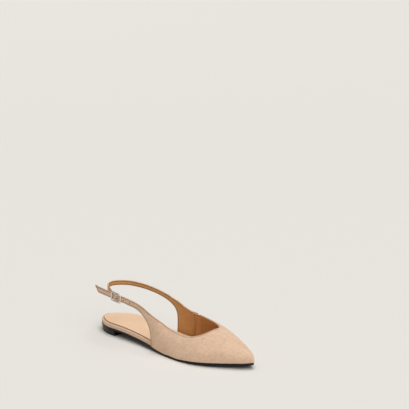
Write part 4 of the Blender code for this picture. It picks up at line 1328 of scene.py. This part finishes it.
@dataclass
class Buckle:
    """The frame, its centre bar and the prong, in the buckle's own axes."""

    upper: Upper
    side_clearance: float = 0.0003
    corner: float = 0.0022
    prong: float = 0.0006
    prong_taper: tuple[float, float] = (0.85, 0.45)
    lift: float = math.radians(62)
    ring_gap: float = math.radians(40)
    sides: int = 24
    prong_sides: int = 16

    @property
    def half_length(self) -> float:
        """Half the pitch of the end bars."""
        return self.upper.buckle_pitch / 2

    @property
    def half_height(self) -> float:
        """Half the pitch of the long bars."""
        return self.upper.strap_width / 2 + self.side_clearance + self.upper.bar

    def build(self, shop: Workshop, palette: Palette) -> None:
        """Build the frame with its bar, and the prong."""
        wire = bmesh.new()
        ring = self.rounded()
        sweep(wire, ring, [self.upper.bar] * len(ring), self.sides, closed=True)
        bar = self.bar_line()
        sweep(wire, bar, [self.upper.centre_bar] * len(bar), self.sides)
        pin = bmesh.new()
        sweep(pin, *self.prong_line(), self.prong_sides)
        for name, bm, node in (("buckle_wire", wire, "buckle_frame"), ("buckle_pin", pin, "buckle_prong")):
            bmesh.ops.transform(bm, matrix=self.upper.buckle_place, verts=bm.verts)
            shop.piece(name, bm, "buckle_metal", [palette["buckle_metal"]], node)

    def bar_line(self) -> list[Vector]:
        """Give the centre bar's middle line, which bows inwards between the long bars."""
        bar = self.upper.bar
        inner = self.half_height - (bar - self.upper.centre_bar)
        turns = np.linspace(0.0, math.pi / 2, 6)
        upper_end = [Vector((0.0, bar - bar * math.cos(turn), inner - bar + bar * math.sin(turn)))
                     for turn in turns]
        upper_end.append(Vector((0.0, self.upper.end_bar_out, inner)))
        return [Vector((point.x, point.y, -point.z)) for point in reversed(upper_end)] + upper_end

    def rounded(self) -> list[Vector]:
        """Give the frame's middle line, with round corners."""
        out = self.upper.end_bar_out
        points = []
        length = self.half_length - self.corner
        height = self.half_height - self.corner
        for quarter, (x, z) in enumerate(((1, 1), (-1, 1), (-1, -1), (1, -1))):
            for turn in np.linspace(0.0, math.pi / 2, 9) + quarter * math.pi / 2:
                points.append(Vector((x * length + self.corner * math.cos(turn), out,
                                      z * height + self.corner * math.sin(turn))))
        return points

    def prong_line(self) -> tuple[list[Vector], list[float]]:
        """Give the prong's middle line and its radius at each point."""
        ring = self.upper.centre_bar + self.upper.loop_clearance + self.prong
        tip_out = self.upper.end_bar_out + self.upper.bar + self.upper.last.gap + self.prong
        points = []
        for share in np.linspace(1.0, 0.0, 33):
            turn = self.lift + (2 * math.pi - self.ring_gap) * share
            points.append(Vector((ring * math.cos(turn), ring * math.sin(turn), 0.0)))
        knee = Vector((self.half_length - self.upper.bar, tip_out, 0.0))
        tip = Vector((self.half_length + self.upper.bar, tip_out, 0.0))
        points += [points[-1].lerp(knee, share) for share in (0.25, 0.5, 0.75)] + [knee]
        points += [knee.lerp(tip, share) for share in (0.4, 0.8, 1.0)]
        tapered = [self.prong * share for share in self.prong_taper]
        return points, [self.prong] * (len(points) - len(tapered)) + tapered


Inputs = dict[int | str, object]
Sockets = dict[str, tuple[str, object]]


class Tree:
    """Adds and joins the nodes of one material or group."""

    def __init__(self, tree: bpy.types.NodeTree) -> None:
        """Keep the tree."""
        self.tree = tree

    def add(self, kind: str, inputs: Inputs | None = None, **settings: object) -> bpy.types.Node:
        """Add a node.

        Args:
            kind: the node's type.
            inputs: values or other nodes' outputs, by socket.
            settings: the node's own properties.

        Returns:
            The node.
        """
        node = self.tree.nodes.new(kind)
        for name, value in settings.items():
            setattr(node, name, value)
        self.fill(node, inputs or {})
        return node

    def fill(self, node: bpy.types.Node, inputs: Inputs) -> None:
        """Set a node's inputs to values or to other nodes' outputs."""
        for socket, value in inputs.items():
            if isinstance(value, bpy.types.NodeSocket):
                self.tree.links.new(value, node.inputs[socket])
            else:
                node.inputs[socket].default_value = value

    def math(self, operation: str, first: object, second: object = 0.0) -> bpy.types.NodeSocket:
        """Add a sum of two values and give its result."""
        return self.add("ShaderNodeMath", {0: first, 1: second}, operation=operation).outputs[0]

    def clamped(self, operation: str, first: object, second: object) -> bpy.types.NodeSocket:
        """Add a sum of two values, held between 0 and 1, and give its result."""
        node = self.add("ShaderNodeMath", {0: first, 1: second}, operation=operation, use_clamp=True)
        return node.outputs[0]

    def mix(self, factor: object, first: object, second: object) -> bpy.types.NodeSocket:
        """Mix two colours and give the result."""
        return self.add("ShaderNodeMix", {0: factor, 6: first, 7: second}, data_type="RGBA").outputs[2]

    def noise(self, scale: object, detail: float, stretch: Place = (1.0, 1.0, 1.0)) -> bpy.types.NodeSocket:
        """Add a noise on the piece's own coordinates and give its value."""
        place = self.add("ShaderNodeTexCoord").outputs["Object"]
        place = self.add("ShaderNodeMapping", {"Vector": place, "Scale": stretch}).outputs[0]
        inputs = {"Vector": place, "Scale": scale, "Detail": detail}
        return self.add("ShaderNodeTexNoise", inputs).outputs[0]


def new_group(name: str, inputs: Sockets, outputs: dict[str, str]) -> bpy.types.NodeTree:
    """Make a shader group with its sockets.

    Args:
        name: the group's name.
        inputs: kind and value of each input, by name.
        outputs: kind of each output, by name.

    Returns:
        The group.
    """
    group = bpy.data.node_groups.new(name, "ShaderNodeTree")
    for socket, (kind, value) in inputs.items():
        made = group.interface.new_socket(name=socket, in_out="INPUT", socket_type=kind)
        made.default_value = value
    for socket, kind in outputs.items():
        group.interface.new_socket(name=socket, in_out="OUTPUT", socket_type=kind)
    group.nodes.new("NodeGroupInput")
    group.nodes.new("NodeGroupOutput")
    return group


COLOUR = "NodeSocketColor"
NUMBER = "NodeSocketFloat"


class Effects:
    """The node groups that the materials share."""

    mottle_layers = ((1.0, 0.26), (3.4, 0.44), (11.0, 0.30))

    def __init__(self) -> None:
        """Build each group once."""
        self.mottle = self.build_mottle()
        self.grain = self.build_grain()
        self.seam = self.build_seam()

    @staticmethod
    def ends(group: bpy.types.NodeTree) -> tuple[bpy.types.NodeOutputs, bpy.types.NodeInputs]:
        """Give a group's input values and its result sockets."""
        return group.nodes["Group Input"].outputs, group.nodes["Group Output"].inputs

    def build_mottle(self) -> bpy.types.NodeTree:
        """Build soft blotches between a dark and a light colour, at three sizes."""
        group = new_group("mottle", {"Dark": (COLOUR, (0.5, 0.5, 0.5, 1.0)),
                                     "Light": (COLOUR, (1.0, 1.0, 1.0, 1.0)),
                                     "Scale": (NUMBER, 60.0), "Contrast": (NUMBER, 1.0)}, {"Color": COLOUR})
        given, result = self.ends(group)
        nodes = Tree(group)
        total = None
        for finer, share in self.mottle_layers:
            layer = nodes.noise(nodes.math("MULTIPLY", given["Scale"], finer), 3.0)
            part = nodes.math("MULTIPLY", layer, share)
            total = nodes.math("ADD", total, part) if total else part
        spread = nodes.math("MULTIPLY", nodes.math("SUBTRACT", total, 0.5), given["Contrast"])
        factor = nodes.clamped("ADD", spread, 0.5)
        group.links.new(nodes.mix(factor, given["Dark"], given["Light"]), result["Color"])
        return group

    def build_grain(self) -> bpy.types.NodeTree:
        """Build a surface height: fine fibres or pores over a soft unevenness."""
        sizes = {"Fine": (NUMBER, 2500.0), "Soft": (NUMBER, 250.0), "Share": (NUMBER, 0.5)}
        group = new_group("grain", sizes, {"Height": NUMBER})
        given, result = self.ends(group)
        nodes = Tree(group)
        fine = nodes.noise(given["Fine"], 3.0, (1.0, 0.6, 0.6))
        soft = nodes.noise(given["Soft"], 2.0)
        low = nodes.math("MULTIPLY", fine, given["Share"])
        rest = nodes.math("MULTIPLY", soft, nodes.math("SUBTRACT", 1.0, given["Share"]))
        group.links.new(nodes.math("ADD", low, rest), result["Height"])
        return group

    def build_seam(self) -> bpy.types.NodeTree:
        """Build masks from the distance to a sewn edge in millimetres: the edge, and the seam's line, where
        painted shade stands in for the shade of the sewn trough.
        """
        group = new_group("seam", {"Inset": (NUMBER, 1.6), "Width": (NUMBER, 0.6), "Edge": (NUMBER, 0.6)},
                          {"Line": NUMBER, "Edge": NUMBER})
        given, result = self.ends(group)
        nodes = Tree(group)
        apart = nodes.add("ShaderNodeAttribute", attribute_name="edge").outputs["Fac"]
        off = nodes.math("ABSOLUTE", nodes.math("SUBTRACT", apart, given["Inset"]))
        for name, value in (("Line", nodes.math("DIVIDE", off, given["Width"])),
                            ("Edge", nodes.math("DIVIDE", apart, given["Edge"]))):
            group.links.new(nodes.clamped("SUBTRACT", 1.0, value), result[name])
        return group


@dataclass(frozen=True)
class Finish:
    """A surface with mottled colour and a fine grain."""

    name: str
    dark: Rgb
    light: Rgb
    blotch: float
    contrast: float
    roughness: float
    fine: float
    soft: float
    fine_share: float
    bump: float
    bump_height: float = 0.0003
    specular: float = 0.5
    metallic: float = 0.0
    sheen: float = 0.0
    sheen_tint: Rgb = (1.0, 1.0, 1.0)
    sheen_roughness: float = 0.5
    # Painted shade along the seam's line, standing in for the shade in the sewn trough, and how strong it
    # is
    seam_shade_colour: Rgb | None = None
    seam_shade_share: float = 0.5
    edge_colour: Rgb | None = None

    def build(self, effects: Effects) -> bpy.types.Material:
        """Build the material from the shared groups."""
        material = bpy.data.materials.new(self.name)
        material.use_nodes = True
        nodes = Tree(material.node_tree)
        mottle = {"Dark": (*self.dark, 1.0), "Light": (*self.light, 1.0), "Scale": self.blotch,
                  "Contrast": self.contrast}
        colour = nodes.add("ShaderNodeGroup", mottle, node_tree=effects.mottle).outputs["Color"]
        if self.seam_shade_colour:
            seam = nodes.add("ShaderNodeGroup", node_tree=effects.seam)
            if self.edge_colour:
                colour = nodes.mix(seam.outputs["Edge"], colour, (*self.edge_colour, 1.0))
            # Painted shade: darken the seam's line, standing in for the shade in the sewn trough
            share = nodes.math("MULTIPLY", seam.outputs["Line"], self.seam_shade_share)
            colour = nodes.mix(share, colour, (*self.seam_shade_colour, 1.0))
        sizes = {"Fine": self.fine, "Soft": self.soft, "Share": self.fine_share}
        height = nodes.add("ShaderNodeGroup", sizes, node_tree=effects.grain).outputs["Height"]
        relief = {"Height": height, "Strength": self.bump, "Distance": self.bump_height}
        bump = nodes.add("ShaderNodeBump", relief)
        nodes.fill(material.node_tree.nodes["Principled BSDF"], {
            "Base Color": colour,
            "Normal": bump.outputs["Normal"],
            "Roughness": self.roughness,
            "Metallic": self.metallic,
            "Specular IOR Level": self.specular,
            "Sheen Weight": self.sheen,
            "Sheen Roughness": self.sheen_roughness,
            "Sheen Tint": (*self.sheen_tint, 1.0),
        })
        return material


FINISHES = (
    Finish("suede", dark=(0.62, 0.405, 0.265), light=(0.86, 0.62, 0.45), blotch=85.0, contrast=2.2,
           roughness=0.95, fine=2600.0, soft=420.0, fine_share=0.6, bump=0.55, bump_height=0.0004,
           specular=0.15, sheen=0.25, sheen_tint=(1.0, 0.88, 0.76), seam_shade_colour=(0.33, 0.20, 0.12),
           seam_shade_share=0.45),
    Finish("board_suede", dark=(0.64, 0.425, 0.28), light=(0.86, 0.62, 0.445), blotch=85.0, contrast=1.6,
           roughness=0.95, fine=2600.0, soft=420.0, fine_share=0.6, bump=0.45, bump_height=0.0004,
           specular=0.15, sheen=0.2, sheen_tint=(1.0, 0.88, 0.76)),
    Finish("lining", dark=(0.52, 0.245, 0.079), light=(0.74, 0.386, 0.137), blotch=55.0, contrast=1.6,
           roughness=0.55, fine=1500.0, soft=200.0, fine_share=0.4, bump=0.25, specular=0.35,
           seam_shade_colour=(0.20, 0.10, 0.04), edge_colour=(0.78, 0.52, 0.30)),
    Finish("raw_edge", dark=(0.78, 0.56, 0.37), light=(0.95, 0.76, 0.57), blotch=200.0, contrast=1.5,
           roughness=0.8, fine=2600.0, soft=500.0, fine_share=0.5, bump=0.4, specular=0.2),
    Finish("sock_leather", dark=(0.83, 0.545, 0.345), light=(0.94, 0.67, 0.455), blotch=40.0, contrast=1.2,
           roughness=0.48, fine=1300.0, soft=160.0, fine_share=0.35, bump=0.15, specular=0.4),
    # Dark brown painted shade: the sock's edge, for the shadow line between board and sock, and the walls
    # of the holes cut in the upper, for the shade inside them
    Finish("sock_edge", dark=(0.30, 0.155, 0.08), light=(0.42, 0.23, 0.13), blotch=200.0, contrast=1.0,
           roughness=0.7, fine=2000.0, soft=300.0, fine_share=0.5, bump=0.3, specular=0.2),
    Finish("black_rubber", dark=(0.004, 0.0035, 0.0035), light=(0.010, 0.009, 0.009), blotch=60.0,
           contrast=1.5, roughness=0.42, fine=1800.0, soft=240.0, fine_share=0.5, bump=0.12, specular=0.3),
    Finish("buckle_metal", dark=(0.70, 0.68, 0.65), light=(0.86, 0.85, 0.83), blotch=250.0, contrast=1.2,
           roughness=0.16, fine=3000.0, soft=700.0, fine_share=0.3, bump=0.03, bump_height=0.0002,
           metallic=1.0),
    Finish("thread", dark=(0.085, 0.047, 0.027), light=(0.155, 0.09, 0.055), blotch=300.0, contrast=1.5,
           roughness=0.7, fine=4000.0, soft=900.0, fine_share=0.5, bump=0.4, bump_height=0.0002,
           specular=0.25, sheen=0.1),
)


@dataclass(frozen=True)
class Studio:
    """The floor, the light and the camera."""

    floor_flat: float = 2.5
    floor_reach: float = 9.0
    floor_rise: float = 0.8
    floor_steps: int = 96
    floor_roughness: float = 0.9
    floor_specular: float = 0.1
    floor_colour: Rgb = (0.785, 0.758, 0.712)
    horizon: Rgb = (0.20, 0.20, 0.20)
    zenith: Rgb = (0.40, 0.40, 0.40)
    sun_energy: float = 1.45
    sun_softness: float = math.radians(45)
    sun_way: Place = (0.06, -0.20, -1.0)
    fill_energy: float = 1.10
    fill_softness: float = math.radians(45)
    fill_way: Place = (-1.0, 0.35, -1.0)
    eye: Place = (0.9615, -0.8921, 0.428)
    heading: tuple[float, float] = (-0.659, 0.752)
    pitch: float = math.radians(11.32)
    sensor: float = 36.0
    lens: float = 88.02

    def build(self, shop: Workshop) -> None:
        """Build the floor, the light and the camera."""
        bpy.context.scene.view_settings.view_transform = "Standard"
        self.build_floor()
        self.build_light()
        self.build_camera(shop)

    def build_floor(self) -> None:
        """Build the plain pale floor, which rises gently far away so that no horizon shows."""
        bm = bmesh.new()
        profile = [(0.0, 0.0)] + [(self.floor_flat + (self.floor_reach - self.floor_flat) * share,
                                   self.floor_rise * share * share) for share in np.linspace(0.0, 1.0, 25)]
        verts = [bm.verts.new((out, 0.0, up)) for out, up in profile]
        edges = [bm.edges.new(pair) for pair in zip(verts, verts[1:])]
        bmesh.ops.spin(bm, geom=verts + edges, cent=(0, 0, 0), axis=UP, angle=2 * math.pi,
                       steps=self.floor_steps, use_merge=True)
        bmesh.ops.remove_doubles(bm, verts=bm.verts, dist=MERGE)
        bmesh.ops.recalc_face_normals(bm, faces=bm.faces)
        if sum(face.normal.z for face in bm.faces) < 0:
            bmesh.ops.reverse_faces(bm, faces=bm.faces)
        material = bpy.data.materials.new("floor")
        material.use_nodes = True
        Tree(material.node_tree).fill(material.node_tree.nodes["Principled BSDF"], {
            "Base Color": (*self.floor_colour, 1.0),
            "Roughness": self.floor_roughness,
            "Specular IOR Level": self.floor_specular,
        })
        floor = add_object("floor", bm, [material])
        floor.data.shade_smooth()
        floor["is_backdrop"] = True

    def build_light(self) -> None:
        """Build a sky that is brighter overhead, a soft lamp above and a fill lamp on the toe's side."""
        world = bpy.data.worlds.new("studio")
        bpy.context.scene.world = world
        world.use_nodes = True
        nodes = Tree(world.node_tree)
        direction = nodes.add("ShaderNodeTexCoord").outputs["Generated"]
        up = nodes.add("ShaderNodeSeparateXYZ", {0: direction}).outputs["Z"]
        share = nodes.add("ShaderNodeMapRange", {0: up, 1: 0.0, 2: 1.0}).outputs[0]
        colour = nodes.mix(share, (*self.horizon, 1.0), (*self.zenith, 1.0))
        nodes.fill(world.node_tree.nodes["Background"], {"Color": colour})
        self.build_lamp("soft_lamp", self.sun_way, self.sun_energy, self.sun_softness)
        self.build_lamp("fill_lamp", self.fill_way, self.fill_energy, self.fill_softness)

    @staticmethod
    def build_lamp(name: str, way: Place, energy: float, softness: float) -> None:
        """Build a far lamp whose light travels one way."""
        lamp = bpy.data.lights.new(name, "SUN")
        lamp.energy = energy
        lamp.angle = softness
        holder = bpy.data.objects.new(name, lamp)
        holder.rotation_euler = Vector(way).to_track_quat("-Z", "Y").to_euler()
        bpy.context.scene.collection.objects.link(holder)

    def build_camera(self, shop: Workshop) -> None:
        """Build the camera at the photo's angle."""
        data = bpy.data.cameras.new("camera")
        data.sensor_width = self.sensor
        data.lens = self.lens
        camera = bpy.data.objects.new("camera", data)
        level = Vector((*self.heading, 0.0)).normalized()
        ahead = level * math.cos(self.pitch) - Vector((0.0, 0.0, math.sin(self.pitch)))
        right = ahead.cross(UP).normalized()
        camera.matrix_world = axes(right, right.cross(ahead), -ahead, Vector(self.eye) + shop.origin)
        bpy.context.scene.collection.objects.link(camera)
        bpy.context.scene.camera = camera


def write_sizes() -> None:
    """Work out the box of the solids and the box of the dressed shoe; they are not written anywhere."""
    boxes = {"cad": CAD_BOX, "visual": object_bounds()}
    {name: [list(corner) for corner in box] for name, box in boxes.items()}


def main() -> None:
    """Build the shoe and its studio."""
    logging.basicConfig(level=logging.INFO, format="%(name)s: %(message)s")
    last = Last()
    upper = Upper(last)
    bottom = Bottom(last, upper)
    shop = Workshop(last, bottom.sole_inset)
    effects = Effects()
    palette = {finish.name: finish.build(effects) for finish in FINISHES}
    upper.build(shop, palette)
    bottom.build(shop, palette)
    Buckle(upper).build(shop, palette)
    Studio().build(shop)
    write_sizes()


if __name__ == "__main__":
    main()
